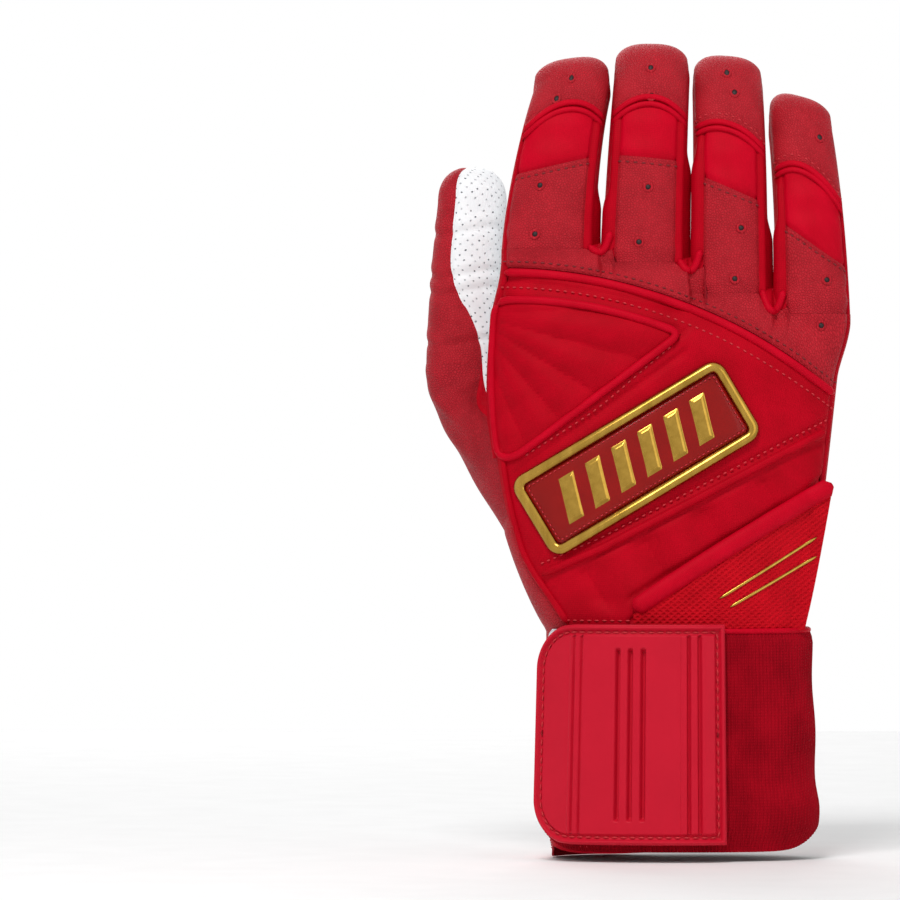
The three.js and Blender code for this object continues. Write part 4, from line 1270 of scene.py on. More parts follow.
def edge_strip(at_thumb, low, high, back_share, palm_share, proud, leather=False):
    """A strip round an edge of the hand; the leather one sinks in below the thumb's mound."""
    def place(u, v, lift):
        w, z = 2 * u - 1, mix(low, high, v)
        share = np.where(w < 0, back_share(z), palm_share(z)) * w * w
        sunk = ease((z - HOLE_LOW - 3) / 10) if leather else 0.0
        swell = proud - STRIP_SINK * sunk + tuck(np.minimum(1 - np.abs(w), 1) * 8, 0.6, 0.8)
        return hand_point(share if at_thumb else 1 - share, z, np.where(w < 0, -1, 1), lift + swell)
    return place


def slanting(z):
    """Share at which the leather strip ends on the palm, in a straight slanting seam."""
    return mix(SLANT_LOW, SLANT_HIGH, np.clip((z - WRIST_Z) / (HOLE_LOW - WRIST_Z), 0, 1))


def leather_edge(z):
    """Share at which the leather strip ends on the back of the hand."""
    return mix(BACK_LOW, BACK_HIGH, ease((z - WRIST_Z) / (HOLE_LOW - WRIST_Z)))


def index_edge(z):
    return PALM_EDGE_LOW + 0.0 * z


def index_palm_edge(z):
    return stall_edge(PALM_EDGE_LOW, z, FINGERS[0].z)


def little_edge(z):
    return 1 - PALM_EDGE_HIGH + 0.0 * z


def little_palm_edge(z):
    return stall_edge(1 - PALM_EDGE_HIGH, z, FINGERS[-1].z)


index_z, little_z = FINGERS[0].z, FINGERS[-1].z
leather_side = edge_strip(True, HEM_Z, HOLE_LOW + 16, leather_edge, slanting, STRIP_PROUD, leather=True)
index_side = edge_strip(True, HOLE_TOP - 14, index_z, index_edge, index_palm_edge, GUSSET_PROUD)
little_side = edge_strip(False, HEM_Z, little_z, little_edge, little_palm_edge, GUSSET_PROUD)
thumb_strip = panel("thumb_side_hide", leather_side, 40, 40, RED_LEATHER)
index_gusset = panel("index_side_stretch", index_side, 24, 40, SPANDEX)
little_gusset = panel("little_side_stretch", little_side, 24, 70, SPANDEX)
sew_on(thumb_strip, "red_leather", "thumb_side_leather")
sew_on(index_gusset, "red_spandex", "index_side_gusset")
sew_on(little_gusset, "red_spandex", "little_side_gusset")
print("three edge strips")

# %% [markdown]
# ## Thumb
# The thumb is a stall of its own, white towards the fingers and red outside. Its two panels meet in
# seams that run up both sides and over the tip.

# %% Thumb stall
SEAM_BACK, SEAM_PALM, SEAM_WEB = (math.radians(turn) for turn in (116.0, 60.0, 60.0))
SEAM_RUN, THUMB_FOLDS = 32.0, (6.0, 21.0, 26.0, 38.0)
THUMB_BLEND, THUMB_CLOSE = 12.0, math.acos(0.06 ** (ROUNDNESS / 2))


def thumb_place(first, last, relief):
    """A side of the thumb between two seams, given by their angles round it."""
    def place(u, v, lift):
        q = v * (THUMB.dome + THUMB.reach * THUMB_CLOSE)
        shift = (SEAM_BACK - SEAM_WEB) * (1 - ease(q / SEAM_RUN))
        angle = mix(first + (shift if first < 0 else 0.0), last + (0.0 if first < 0 else shift), u)
        rise = np.maximum(0.0, (q - THUMB.dome) / THUMB.reach)
        left = rounded_power(np.cos(rise))
        seam = np.minimum(u, 1 - u) * (last - first) * THUMB.root / 2 * left
        lift = lift + tuck(seam, 0.5, 0.8) + relief(angle, q) * left
        return THUMB.point(left * rounded_power(np.cos(angle)), left * rounded_power(np.sin(angle)),
                           np.minimum(q, THUMB.dome), rounded_power(np.sin(rise)), lift)
    return place


def thumb_folds(angle, q):
    waver = q + 1.2 * np.sin(2.0 * angle)
    return sum(0.2 * bump_at(waver, at + 2.6, 1.7) - 0.4 * bump_at(waver, at, 1.2) for at in THUMB_FOLDS)


thumb_pad = thumb_place(-SEAM_BACK, SEAM_PALM, thumb_folds)
thumb_back = thumb_place(SEAM_PALM, 2 * math.pi - SEAM_BACK, thumb_folds)
stalls = [(panel("thumb_pad_hide", thumb_pad, 40, 70, WHITE_LEATHER), "white_leather", "thumb_pad"),
          (panel("thumb_back_hide", thumb_back, 40, 70, RED_LEATHER), "red_leather", "thumb_back")]
for piece, slot, node in stalls:
    THUMB.middle(0.0)
    THUMB.middle(THUMB_BLEND)
    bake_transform(piece)
    mark(piece, slot, node)
print("thumb stall", THUMB.length, "mm long")

# %% [markdown]
# The thumb grows from a mound of three pieces: the white web, a tumbled red leather that wrinkles at the
# root, and a stretch sliver. The tumbled leather's deeper red is painted shade, where the mound turns
# away from the light. Each is a soft bend between two outlines, the opening in the hand and the root
# of the thumb.

# %% Mound of the thumb
RIM_MIDDLE, RIM_HALF, RIM_TWIST, RIM_OVER, RIM_SUNK = 0.15, 0.3, math.pi / 6, 2.0, 0.9
MOUND_SWELL, MOUND_DROP = 1.5, 12.0
RIM_SEAM, GUSSET_RIM, GUSSET_RING = (math.radians(turn) for turn in (80.0, 96.0, 63.0))
HOLE_MIDDLE = HOLE_LOW + HOLE_HEIGHT / 2


def mound_place(first, last, relief):
    """A piece of the mound between the opening in the hand and the root of the thumb."""
    def place(u, v, lift):
        start, end = first(v), last(v)
        angle = mix(start, end, u)
        turn = RIM_TWIST - angle
        walk = RIM_MIDDLE + RIM_HALF * np.cos(turn)
        seam = np.minimum(angle - start, end - angle) * THUMB.root / 2
        inset = lift + tuck(seam, 0.4, 0.8) + relief(angle, v) * np.sin(np.pi * np.clip(v, 0, 1))
        rim_z = HOLE_MIDDLE + (HOLE_HEIGHT / 2 + RIM_OVER + inset) * np.sin(turn)
        rim = hand_point(walk * walk, rim_z, np.where(walk < 0, -1, 1), inset - RIM_SUNK)
        ring = THUMB.point(rounded_power(np.cos(angle)), rounded_power(np.sin(angle)), 0.0, 0.0, inset)
        swell = MOUND_SWELL * np.sin(np.pi * v) * (0.5 - 0.5 * np.cos(angle))
        out = np.stack(np.broadcast_arrays(swell * np.cos(angle), swell * np.sin(angle), 0.0 * swell), -1)
        below, t = ring - np.array([0.0, 0.0, MOUND_DROP]), (v + 0 * angle)[..., None]
        return mix(mix(rim, below, t), mix(below, ring, t), t) + out
    return place


def smooth(angle, v):
    """A piece of the mound with no wrinkles."""
    return 0.0 * angle


def mound_wrinkles(angle, v):
    return 0.3 * np.sin(20 * v + 2.6 * np.sin(2 * angle)) + 0.2 * np.sin(9 * angle + 11 * v)


def web_seam(v):
    return -SEAM_WEB + 0.0 * v


def palm_seam(v):
    """The seam between white and red moves towards the palm as it nears the thumb."""
    return mix(RIM_SEAM, SEAM_PALM, ease(v))


def gusset_seam(v):
    return -mix(GUSSET_RIM, GUSSET_RING, ease(v))


def gusset_seam_beyond(v):
    """The same seam, reached by going on round the mound."""
    return 2 * math.pi + gusset_seam(v)


web = mound_place(web_seam, palm_seam, smooth)
root = mound_place(palm_seam, gusset_seam_beyond, mound_wrinkles)
sliver = mound_place(gusset_seam, web_seam, smooth)
mounds = [(panel("thumb_web_hide", web, 40, 40, WHITE_LEATHER), "white_leather", "thumb_web_leather"),
          (panel("thumb_root_hide", root, 40, 40, ROUGH_LEATHER_PAINTED_SHADE), "red_leather", "thumb_root_leather"),
          (panel("thumb_root_stretch", sliver, 40, 40, SPANDEX), "red_spandex", "thumb_root_gusset")]
for piece, slot, node in mounds:
    sew_on(piece, slot, node)
print("thumb made of", len(stalls) + len(mounds), "hides")

# %% [markdown]
# ## Seams and vents of the fingers
# Each cap is sewn over a double roll of stretch binding, the back leather ends in a row of stitches,
# and small vents are punched through the leather. A vent is a dark plug of painted shade with a
# raised leather lip.

# %% Rings
def ring_piece(name, points, finish):
    """A closed ring from points in the order round the ring, round its section, xyz."""
    count, sides = points.shape[:2]
    at = np.arange(count * sides).reshape(count, sides)
    ahead, up = np.roll(at, -1, axis=0), np.roll(at, -1, axis=1)
    faces = quads(at, ahead, np.roll(ahead, -1, axis=1), up)
    return new_piece(name, points.reshape(-1, 3), faces.tolist(), finish)


def joined(name, pieces):
    """One piece from several that share a finish."""
    points, faces, start = [], [], 0
    for piece in pieces:
        mesh = piece.data
        points += [np.array(v.co) / MM for v in mesh.vertices]
        faces += [[start + k for k in face.vertices] for face in mesh.polygons]
        start += len(mesh.vertices)
        finish = mesh.materials[0]
        bpy.data.objects.remove(piece)
    return new_piece(name, points, faces, finish)


VENT_RADIUS, SLIT_RADIUS, PLUG_ENDS = 1.0, 0.5, (-0.6, 0.1)
LIP_SHARE, LIP_REACH, LIP_FLAT, LIP_LIFT = 0.42, 1.15, 0.6, 0.05


def vents(name, spots, lip_finish, radius=VENT_RADIUS):
    """Punched vents; each spot gives a point for an offset across and along the surface and a lift."""
    turn = np.linspace(0, 2 * np.pi, 20, endpoint=False)
    section = np.linspace(0, 2 * np.pi, 8, endpoint=False)
    plugs = np.array([[spot(radius * np.cos(turn), radius * np.sin(turn), lift) for lift in PLUG_ENDS]
                      for spot in spots])
    # The plug is a dark sheet of painted shade that stands in for the hole.
    plug_piece = new_piece(name + "_holes", *rings_to_tubes(plugs), VENT_PAINTED_SHADE)
    lip = LIP_SHARE * radius
    reach = LIP_REACH * radius + lip * np.cos(section)[None, :]
    beside, along = reach * np.cos(turn)[:, None], reach * np.sin(turn)[:, None]
    rise = LIP_LIFT + LIP_FLAT * lip * np.sin(section)[None, :]
    lips = [ring_piece(name, spot(beside, along, rise), lip_finish) for spot in spots]
    return plug_piece, joined(name + "_lips", lips)


print("vents are", 2 * VENT_RADIUS, "mm wide")

# %% [markdown]
# Rolls and stitches are laid along the seam lines of the panels, so they stay in the seams when a
# pattern size changes. A vent is placed by x and z, as it is seen from the front.

# %% Places of seams and vents
BACK_VENTS = {"index": [(-39.7, 193.4), (-41.2, 179.2)], "middle": [(-8.4, 192.9), (-11.0, 176.9)],
              "ring": [(18.6, 181.0), (16.8, 166.2)], "little": [(43.5, 165.9)]}
TIP_VENTS = {"index": [(-30.5, 224.8), (-34.8, 218.7)], "middle": [(-7.3, 227.9), (-7.3, 219.5)],
             "ring": [(15.1, 226.5), (17.1, 220.7)], "little": [(41.8, 207.6)]}
PALM_SLITS = (0.5, 0.6, 0.7)
ROOT_VENTS = {"middle": 7.0, "ring": 10.0}
HAND_VENTS = [(FINGERS[0].x + 2.0, 171.0), (FINGERS[1].x, 163.0),
              (FINGERS[2].x, 156.0), (FINGERS[3].x, 145.5)]


def back_spot(f, x, z, lift):
    """The place on a stall's back at x and z in the front view, and how far along the stall it is."""
    q = np.linspace(0.0, f.dome + 0.9 * f.reach, 200)
    across = 0.0
    for _ in range(6):
        found = np.interp(z, wall_point(f, -1, across, q, 0.0)[:, 2], q)
        at = wall_point(f, -1, across, found, 0.0)[0]
        across += (x - at) / (f.root / 2)
    return lambda du, dv, up: wall_point(f, -1, across + du / (f.root / 2), found + dv, lift + up), found


def palm_spot(f, q):
    """The place in the middle of a stall's palm side at q along it."""
    folds = palm_folds(f)
    return lambda du, dv, up: wall_point(f, 1, du / (f.root / 2), q + dv, up + folds(0.0, q + dv) + 0.05)


def hand_spot(x, z, side, lift):
    """The place on the hand at x and z."""
    return lambda du, dv, up: on_hand(x + du, z + dv, side, up + lift)


def stall_line(f, line, offset, edges, lift):
    """A line across a stall's back beside one of its seams, with a line above it."""
    across = np.linspace(edges[0], edges[1], 60)
    return [wall_point(f, -1, across, line(f, across) + offset, lift + up) for up in (0.0, 1.0)]


print("palm vents at", [(round(x, 1), z) for x, z in HAND_VENTS])

# %% [markdown]
# What lies beyond the knuckle moves with the upper stall. What lies on a lower panel is baked in place
# with it, as that panel is.

# %% Finger seams and vents
CAP_ROLLS, ROLL_EDGE, HEM_EDGE = ((-0.8, 0.95), (-2.6, 0.8)), 0.92, 0.94
LEATHER_STITCH, CLOTH_STITCH = {"pitch": 2.3, "length": 1.35}, {"pitch": 2.2, "length": 1.2}
for f in FINGERS:
    upper, whole = f.name + "_upper", (-ROLL_EDGE, ROLL_EDGE)
    hem = stall_line(f, lower_line, -1.5, [HEM_EDGE * edge for edge in back_edges(f)], 0.1)
    sewn = stitching(f"{f.name}_back_stitches", [hem], DARK_THREAD, **LEATHER_STITCH)
    bend_at_knuckle(sewn, f, "red_leather")
    for k, (offset, radius) in enumerate(CAP_ROLLS):
        seam = stall_line(f, cap_line, offset, whole, 0.25)
        sew_on(piping(f"{f.name}_cap_roll_{k}", seam, radius, SPANDEX_EDGE), "red_spandex", body=upper)
    if f in FINGERS[2:]:
        seam = stall_line(f, cap_line, 1.6, whole, 0.28)
        sewn = stitching(f"{f.name}_cap_stitches", [seam], RED_THREAD, **CLOTH_STITCH)
        sew_on(sewn, "red_spandex", body=upper)
    spots = [back_spot(f, x, z, CAP_LIFT)[0] for x, z in TIP_VENTS[f.name]]
    for piece in vents(f"{f.name}_tip_vents", spots, RED_LEATHER):
        sew_on(piece, "red_leather", body=upper)
    for k, (x, z) in enumerate(BACK_VENTS[f.name]):
        spot, q = back_spot(f, x, z, BACK_LIFT)
        bend = bend_at_root if q < f.knuckle / 2 else bend_at_knuckle
        for piece in vents(f"{f.name}_back_vent_{k}", [spot], RED_LEATHER):
            bend(piece, f, "red_leather")
    slits = [palm_spot(f, share * f.length) for share in PALM_SLITS]
    for piece in vents(f"{f.name}_palm_slits", slits, WHITE_LEATHER, SLIT_RADIUS):
        bend_at_knuckle(piece, f, "white_leather")
    if f.name in ROOT_VENTS:
        for piece in vents(f"{f.name}_root_vent", [palm_spot(f, ROOT_VENTS[f.name])], WHITE_LEATHER):
            bend_at_root(piece, f, "white_leather")
for piece in vents("palm_vents", [hand_spot(x, z, 1, 0.25) for x, z in HAND_VENTS], WHITE_LEATHER):
    sew_on(piece, "white_leather")
print("finger seams made")

# %% [markdown]
# ## The back of the hand
# The knuckle leather is sewn down over a roll of stretch, with one row of stitches in the leather and
# one in the stretch below. All three are offsets from one seam line, so they run side by side.

# %% Knuckle welt
WELT_RADIUS, LITTLE_VENT = 1.25, (42.0, 152.6)


def on_back(x, z, lift):
    """A point on the back of the hand."""
    return on_hand(x, z, -1, lift)


def back_line(points, lift, surface=on_back, step=0.8):
    """A line on the back of the hand through corners given by x and z, with a line above it."""
    points = np.asarray(points, float)
    run = run_along(points)
    marks = np.linspace(0, run[-1], max(4, int(run[-1] / step)))
    x, z = (np.interp(marks, run, points[:, k]) for k in range(2))
    return [surface(x, z, lift + up) for up in (0.0, 1.0)]


seam_shares = np.linspace(PALM_EDGE_LOW, PALM_EDGE_HIGH, 160)


def knuckle_run(offset, lift):
    """A line beside the seam of the knuckle leather, with a line above it."""
    return [hand_point(seam_shares, knuckle_line(seam_shares) + offset, -1, lift + up) for up in (0.0, 1.0)]


welt = piping("knuckle_roll", knuckle_run(-1.5, 0.35), WELT_RADIUS, SPANDEX_EDGE, flat=0.8)
sew_on(welt, "red_spandex", "knuckle_welt")
welt_stitches = stitching("knuckle_stitches", [knuckle_run(1.7, 0.55)], DARK_THREAD, **LEATHER_STITCH)
sew_on(welt_stitches, "red_spandex")
for piece in vents("knuckle_vent", [hand_spot(*LITTLE_VENT, -1, 0.5)], RED_LEATHER):
    sew_on(piece, "red_leather")
below_welt = stitching("knuckle_channel_stitches", [knuckle_run(-5.8, 0.1)], RED_THREAD, **CLOTH_STITCH)
sew_on(below_welt, "red_spandex")
print("welt", 2 * WELT_RADIUS, "mm wide")

# %% [markdown]
# Below it a soft pad lies over the first two knuckles. It is a foam triangle under the stretch, crowned
# in its middle, drawn down at its border, and pressed into folds that fan out from a corner. Its border
# is a raised roll with a row of stitches outside.

# %% Knuckle pad
PAD_FOAM, PAD_SUNK, PAD_ROLL, PAD_BOW = 2.6, 0.35, 1.15, 3.0
PAD_LEFT, PAD_RIGHT, PAD_FOOT, PAD_INSET = (-53.0, 160.0), (0.9, 150.2), (-47.5, 114.0), (0.6, 2.2)
FAN_START, FAN_PERIOD, FAN_TURN = (-61.0, 156.0), math.radians(17.0), math.radians(2.0)
FAN_DEEP, FAN_REACH, FAN_MOST = 1.8, 30.0, 1.2
BORDER_MARKS, CORNER_STEPS, STITCH_OFF, STITCH_FROM_X, STITCH_TO_Z = 160, 3, 2.9, -44.0, 146.0


def pad_spot(u, v):
    """x and z in the pad's triangle, u from the thumb side across and v from the knuckles down."""
    left_z = mix(PAD_LEFT[1], PAD_FOOT[1], v)
    left_x = hand_outline(left_z)[0] + mix(*PAD_INSET, v)
    x = mix(left_x, mix(PAD_RIGHT[0], PAD_FOOT[0], v), u)
    z = mix(left_z, mix(PAD_RIGHT[1], PAD_FOOT[1], v), u) + PAD_BOW * (1 - v) * 4 * u * (1 - u)
    return x, z


def fan_folds(x, z):
    """Pressed folds that fan out over the pad from its upper corner on the thumb side."""
    angle = np.arctan2(FAN_START[1] - z, x - FAN_START[0]) + FAN_TURN
    far = np.hypot(FAN_START[1] - z, x - FAN_START[0])
    return FAN_DEEP * (scallops(angle / FAN_PERIOD) - 1) * np.minimum(FAN_MOST, far / FAN_REACH)


def pad_place(u, v, lift):
    """The pad's skin over its foam."""
    x, z = pad_spot(np.clip(u, 0, 1) + 0 * v, np.clip(v, 0, 1) + 0 * u)
    crown = np.sqrt(np.maximum(0.0, (1 - (2 * u - 1) ** 4) * (1 - (2 * v - 1) ** 4)))
    return on_hand(x, z, -1, lift - PAD_SUNK + crown * (PAD_FOAM + fan_folds(x, z)))


pad = panel("knuckle_foam_pad", pad_place, 64, 56, SPANDEX, thickness=1.0)
sew_on(pad, "red_spandex", "knuckle_pad")
walk = np.linspace(0, 1, 40)
sides = [pad_spot(walk, 0 * walk), pad_spot(0 * walk + 1, walk), pad_spot(1 - walk, 0 * walk + 1),
         pad_spot(0 * walk, 1 - walk)]
border = np.concatenate([np.stack(side, -1)[:-1] for side in sides])
run = run_along(border)
marks = np.linspace(0, run[-1], BORDER_MARKS, endpoint=False)
border = np.stack([np.interp(marks, run, border[:, k]) for k in range(2)], -1)
near = range(-CORNER_STEPS, CORNER_STEPS + 1)
border = sum(np.roll(border, step, axis=0) for step in near) / len(near)
border_line = back_line(np.concatenate([border, border[:1]]), 0.6)
sew_on(piping("pad_roll", border_line, PAD_ROLL, SPANDEX_EDGE), "red_spandex")
outside = border + STITCH_OFF * unit(border - border.mean(axis=0))
outside = outside[(outside[:, 0] > STITCH_FROM_X) & (outside[:, 1] < STITCH_TO_Z)]
pad_stitches = stitching("pad_stitches", [back_line(outside, 0.1)], RED_THREAD, **CLOTH_STITCH)
sew_on(pad_stitches, "red_spandex")
print("pad", len(pad.data.polygons), "faces")

# %% [markdown]
# ## Badges
# Both badges are a gold frame round a domed red resin plate, bent to the surface below. The big one on
# the back has a tubular frame and a row of plain gold bars. The one on the wrist has a flat foil frame
# with two rows of thread, and a plain diamond.

# %% Badge makers
BADGE_SIZE, BADGE_CENTRE = (71.0, 26.4), (-12.0, 114.0)
WRIST_BADGE_SIZE, WRIST_BADGE_Z = (44.0, 26.0), CUFF_HEIGHT / 2
GOLD_WIDTH, BADGE_CORNER, PLATE_GAP, PLATE_NIP, BAR_HIGH = 3.2, 4.5, 0.1, 1.3, 0.75


def rounded_walk(size, inset, corner=BADGE_CORNER, arc=8, straight=24):
    """Corners of a rounded rectangle, always the same count, drawn in by an inset."""
    a, b, r = size[0] / 2 - inset, size[1] / 2 - inset, max(0.5, corner - inset)
    points = []
    for k, (sx, sz) in enumerate(((1, 1), (-1, 1), (-1, -1), (1, -1))):
        turn = (k + np.linspace(0, 1, arc)) * np.pi / 2
        bend = np.stack([sx * (a - r) + r * np.cos(turn), sz * (b - r) + r * np.sin(turn)], -1)
        nx, nz = ((-1, 1), (-1, -1), (1, -1), (1, 1))[k]
        far = np.array([nx * (a - r) + r * math.cos(turn[-1]), nz * (b - r) + r * math.sin(turn[-1])])
        side = bend[-1] + np.linspace(0, 1, straight + 2)[1:-1, None] * (far - bend[-1])
        points += [bend, side]
    return np.concatenate(points)


def gold_frame(name, size, lay, profile):
    """A frame whose section is a closed walk of insets and lifts."""
    loops = [lay(*rounded_walk(size, inset).T, lift) for inset, lift in profile]
    return ring_piece(name, np.stack(loops, axis=1), GOLD)


def domed_plate(name, size, lay, edge, crown):
    """A plate that fills a frame, with nipped corners and a low dome."""
    long, half = (side / 2 - GOLD_WIDTH - PLATE_GAP for side in size)

    def place(u, v, lift):
        z = mix(-half, half, v)
        nip = PLATE_NIP * np.clip((np.abs(z) - half + PLATE_NIP) / PLATE_NIP, 0, 1) ** 2
        x = mix(-1.0, 1.0, u) * (long - nip)
        dome = np.maximum(0.0, (1 - (2 * u - 1) ** 8) * (1 - (2 * v - 1) ** 4)) ** 0.5
        return lay(x, z, lift + edge + crown * dome)
    return panel(name, place, 70, 26, RESIN, thickness=0.8)


def gold_bar(name, lay, corners, lift):
    """A plain raised bar between four corners, in order round it."""
    a, b, c, d = (np.array(corner, float) for corner in corners)

    def place(u, v, up):
        s, t = u[..., None] + 0 * v[..., None], v[..., None]
        spot = mix(mix(a, b, s), mix(d, c, s), t)
        edge = np.minimum(np.minimum(u, 1 - u) * 3.2, np.minimum(v, 1 - v) * 9)
        rise = BAR_HIGH * np.sin(np.pi / 2 * np.clip(edge, 0, 1))
        return lay(spot[..., 0], spot[..., 1], lift + up + rise)
    return panel(name, place, 14, 26, GOLD, thickness=1.0)


def on_back_badge(x, z, lift):
    """A point of the tilted badge, from its own middle."""
    c, s = math.cos(BADGE_TILT), math.sin(BADGE_TILT)
    return on_hand(BADGE_CENTRE[0] + x * c - z * s, BADGE_CENTRE[1] + x * s + z * c, -1, lift)


def on_cuff(x, z, lift):
    """A point of the wrist badge, from its own middle."""
    height = WRIST_BADGE_Z + z
    return cuff_point(cuff_angle(x, height), height, lift)


def stitch_loop(size, inset, lay, lift):
    """A closed line inside the border of a badge, with a line above it."""
    walk = rounded_walk(size, inset)
    walk = np.concatenate([walk, walk[:1]])
    return [lay(*walk.T, lift + up) for up in (0.0, 1.0)]


print("badges", BADGE_SIZE, "and", WRIST_BADGE_SIZE, "mm")

# %% [markdown]
# A frame is one section carried round the badge. A curve with a round bevel could draw it too, but a
# section given by points has the flat foot that sits on the cloth.

# %% Badges
# Sections of the frames, as insets from the outer edge and heights.
TUBE = [(0.0, 0.2), (0.0, 1.3), (0.35, 2.1), (0.95, 2.6), (1.6, 2.75),
        (2.25, 2.6), (2.85, 2.1), (3.2, 1.3), (3.2, 0.2)]
FOIL = [(0.0, 0.2), (0.0, 1.1), (0.2, 1.35), (0.5, 1.45), (1.6, 1.5),
        (2.7, 1.45), (3.0, 1.35), (3.2, 1.1), (3.2, 0.2)]
PLATE_EDGE, PLATE_CROWN, WRIST_CROWN, THREAD_LIFT = 0.7, 1.1, 0.6, 1.45
BARS, BAR_STEP, BAR_WIDTH, BAR_HALF, BAR_LEAN, BAR_SUNK = 6, 8.8, 5.0, 6.4, 2.0, 0.1
DIAMOND = [(0.0, -6.5), (9.0, 0.0), (0.0, 6.5), (-9.0, 0.0)]
FINE_DOTS = {"pitch": 1.5, "length": 0.9, "radius": 0.2}
FOIL_ROWS = {"pitch": 1.7, "length": 1.1, "radius": 0.2}
sew_on(gold_frame("back_badge_frame", BADGE_SIZE, on_back_badge, TUBE), "gold", "badge_frame")
back_plate = domed_plate("back_badge_plate", BADGE_SIZE, on_back_badge, PLATE_EDGE, PLATE_CROWN)
sew_on(back_plate, "red_rubber", "badge_plate")
for k in range(BARS):
    x = (k - (BARS - 1) / 2) * BAR_STEP - BAR_WIDTH / 2
    low, high = x - BAR_LEAN, x + BAR_LEAN
    corners = [(low, -BAR_HALF), (low + BAR_WIDTH, -BAR_HALF),
               (high + BAR_WIDTH, BAR_HALF), (high, BAR_HALF)]
    bar_lift = PLATE_EDGE + PLATE_CROWN - BAR_SUNK
    sew_on(gold_bar(f"back_badge_bar_{k}", on_back_badge, corners, bar_lift), "gold")
dots = stitch_loop(BADGE_SIZE, 4.2, on_back_badge, THREAD_LIFT)
sew_on(stitching("back_badge_stitches", [dots], RED_THREAD, **FINE_DOTS), "gold")
sew_on(gold_frame("wrist_badge_foil", WRIST_BADGE_SIZE, on_cuff, FOIL), "gold", "wrist_badge_frame")
wrist_plate = domed_plate("wrist_badge_dome", WRIST_BADGE_SIZE, on_cuff, PLATE_EDGE, WRIST_CROWN)
sew_on(wrist_plate, "red_rubber", "wrist_badge_plate")
sew_on(gold_bar("wrist_badge_diamond", on_cuff, DIAMOND, 1.2), "gold")
rows = [stitch_loop(WRIST_BADGE_SIZE, inset, on_cuff, THREAD_LIFT) for inset in (0.9, 2.3)]
sew_on(stitching("wrist_badge_stitches", rows, GOLD_THREAD, **FOIL_ROWS), "gold")
print("badges made with", BARS, "bars and a diamond")

# %% [markdown]
# ## Power strap
# An elastic strap of open diamond mesh runs from the middle of the wrist up to the little finger's
# edge. Its cords are thick enough to catch the light, so they are real ridges and not a pattern. Its
# upper border is bound with a broad smooth roll.

# %% Power strap
STRAP_LEFT, STRAP_FOOT, STRAP_RISE, STRAP_START, STRAP_BELOW = -13.0, WRIST_Z + 3.0, 41.0, 2.0, 3.0
STRAP_FLARE, STRAP_HOLD, STRAP_BACK, STRAP_INSET = 2.4, 5.0, 0.25, 0.4
MESH_PITCH, MESH_SLANT, MESH_HIGH, CORD_SHARE, STRAP_LIFT = 1.7, 0.8, 0.36, 1.7, 0.6
BINDING_RADIUS, BINDING_FLAT, BINDING_UP, BINDING_LIFT = 2.7, 0.62, 1.2, 0.8
# The two ends of each thin gold line, by x and z.
PINSTRIPES = [((12.0, 73.5), (40.5, 91.0)), ((15.0, 71.0), (40.5, 85.5))]


def strap_top(u):
    """Height of the strap's upper border."""
    return STRAP_FOOT + STRAP_START + (STRAP_RISE - STRAP_START - STRAP_BELOW) * u


def strap_x(u, z):
    """x at a share of the strap's length, which ends a little past the side of the hand."""
    flare = STRAP_FLARE * np.clip((z - STRAP_FOOT) / STRAP_RISE, 0, 1)
    return mix(STRAP_LEFT, hand_outline(z)[1] - STRAP_INSET + flare, u)


def on_strap(x, z, lift):
    """The strap lies on the hand, but its outer edge stands out straight past the hand's side."""
    held = np.minimum(x, hand_outline(z)[1] - STRAP_HOLD)
    return on_hand(held, z, -1, lift) + (x - held)[..., None] * np.array([1.0, STRAP_BACK, 0.0])


def mesh_relief(x, z):
    """Rounded cords that cross on the slant and leave diamond holes."""
    cords = [np.abs(np.mod((x * MESH_SLANT + s * z) / MESH_PITCH, 1.0) - 0.5) * 2 for s in (1, -1)]
    off = np.minimum(1.0, (1 - np.maximum(*cords)) * CORD_SHARE)
    return MESH_HIGH * np.sqrt(np.maximum(0.0, 1 - off ** 2))


def strap_place(u, v, lift):
    z = mix(STRAP_FOOT - STRAP_BELOW, strap_top(np.clip(u, 0, 1)), v)
    x = strap_x(np.clip(u, 0, 1), z)
    return on_strap(x, z, lift + STRAP_LIFT + mesh_relief(x, z))


strap = panel("strap_mesh", strap_place, 210, 120, STRAP_MESH, thickness=1.2)
sew_on(strap, "red_rubber", "power_strap")
along = np.linspace(0, 1, 50)
top = np.stack([strap_x(along, strap_top(along)), strap_top(along) + BINDING_UP], -1)
binding_line = back_line(top, BINDING_LIFT, on_strap)
strap_roll = piping("strap_roll", binding_line, BINDING_RADIUS, SPANDEX_EDGE, flat=BINDING_FLAT, sides=14)
sew_on(strap_roll, "red_rubber", "strap_piping")
for k, ends in enumerate(PINSTRIPES):
    stripe = piping(f"strap_pinstripe_{k}", back_line(ends, 1.15, on_strap), 0.4, GOLD, flat=0.5)
    sew_on(stripe, "gold")
print("strap", len(strap.data.polygons), "faces")

# %% [markdown]
# Soft rolls and rows of stitches finish the stretch back: a roll along its thumb edge, the channel
# along the badge, and the seam at the wrist.

# %% Rolls and stitches of the back
EDGE_TOP, EDGE_OFF, CHANNEL_OFF, WRIST_START = 118.0, 0.006, (0.0, 3.2), 0.06
edge_z = np.linspace(EDGE_TOP, WRIST_Z + 2.0, 120)
edge_run = [hand_point(leather_edge(edge_z) + EDGE_OFF, edge_z, -1, lift) for lift in (0.3, 1.3)]
sew_on(piping("back_edge_roll", edge_run, 1.1, SPANDEX, flat=0.85), "red_spandex")
sew_on(piping("channel_roll", back_line(CHANNEL, 0.1), 1.2, SPANDEX, flat=0.8), "red_spandex")
beside_channel = back_line(np.array(CHANNEL) + CHANNEL_OFF, 0.0)
sew_on(stitching("channel_stitches", [beside_channel], RED_THREAD, **CLOTH_STITCH), "red_spandex")
wrist_shares = np.linspace(PALM_EDGE_LOW + WRIST_START, PALM_EDGE_HIGH, 120)
wrist_seam = [hand_point(wrist_shares, WRIST_Z + 3.0, -1, lift) for lift in (0.05, 1.05)]
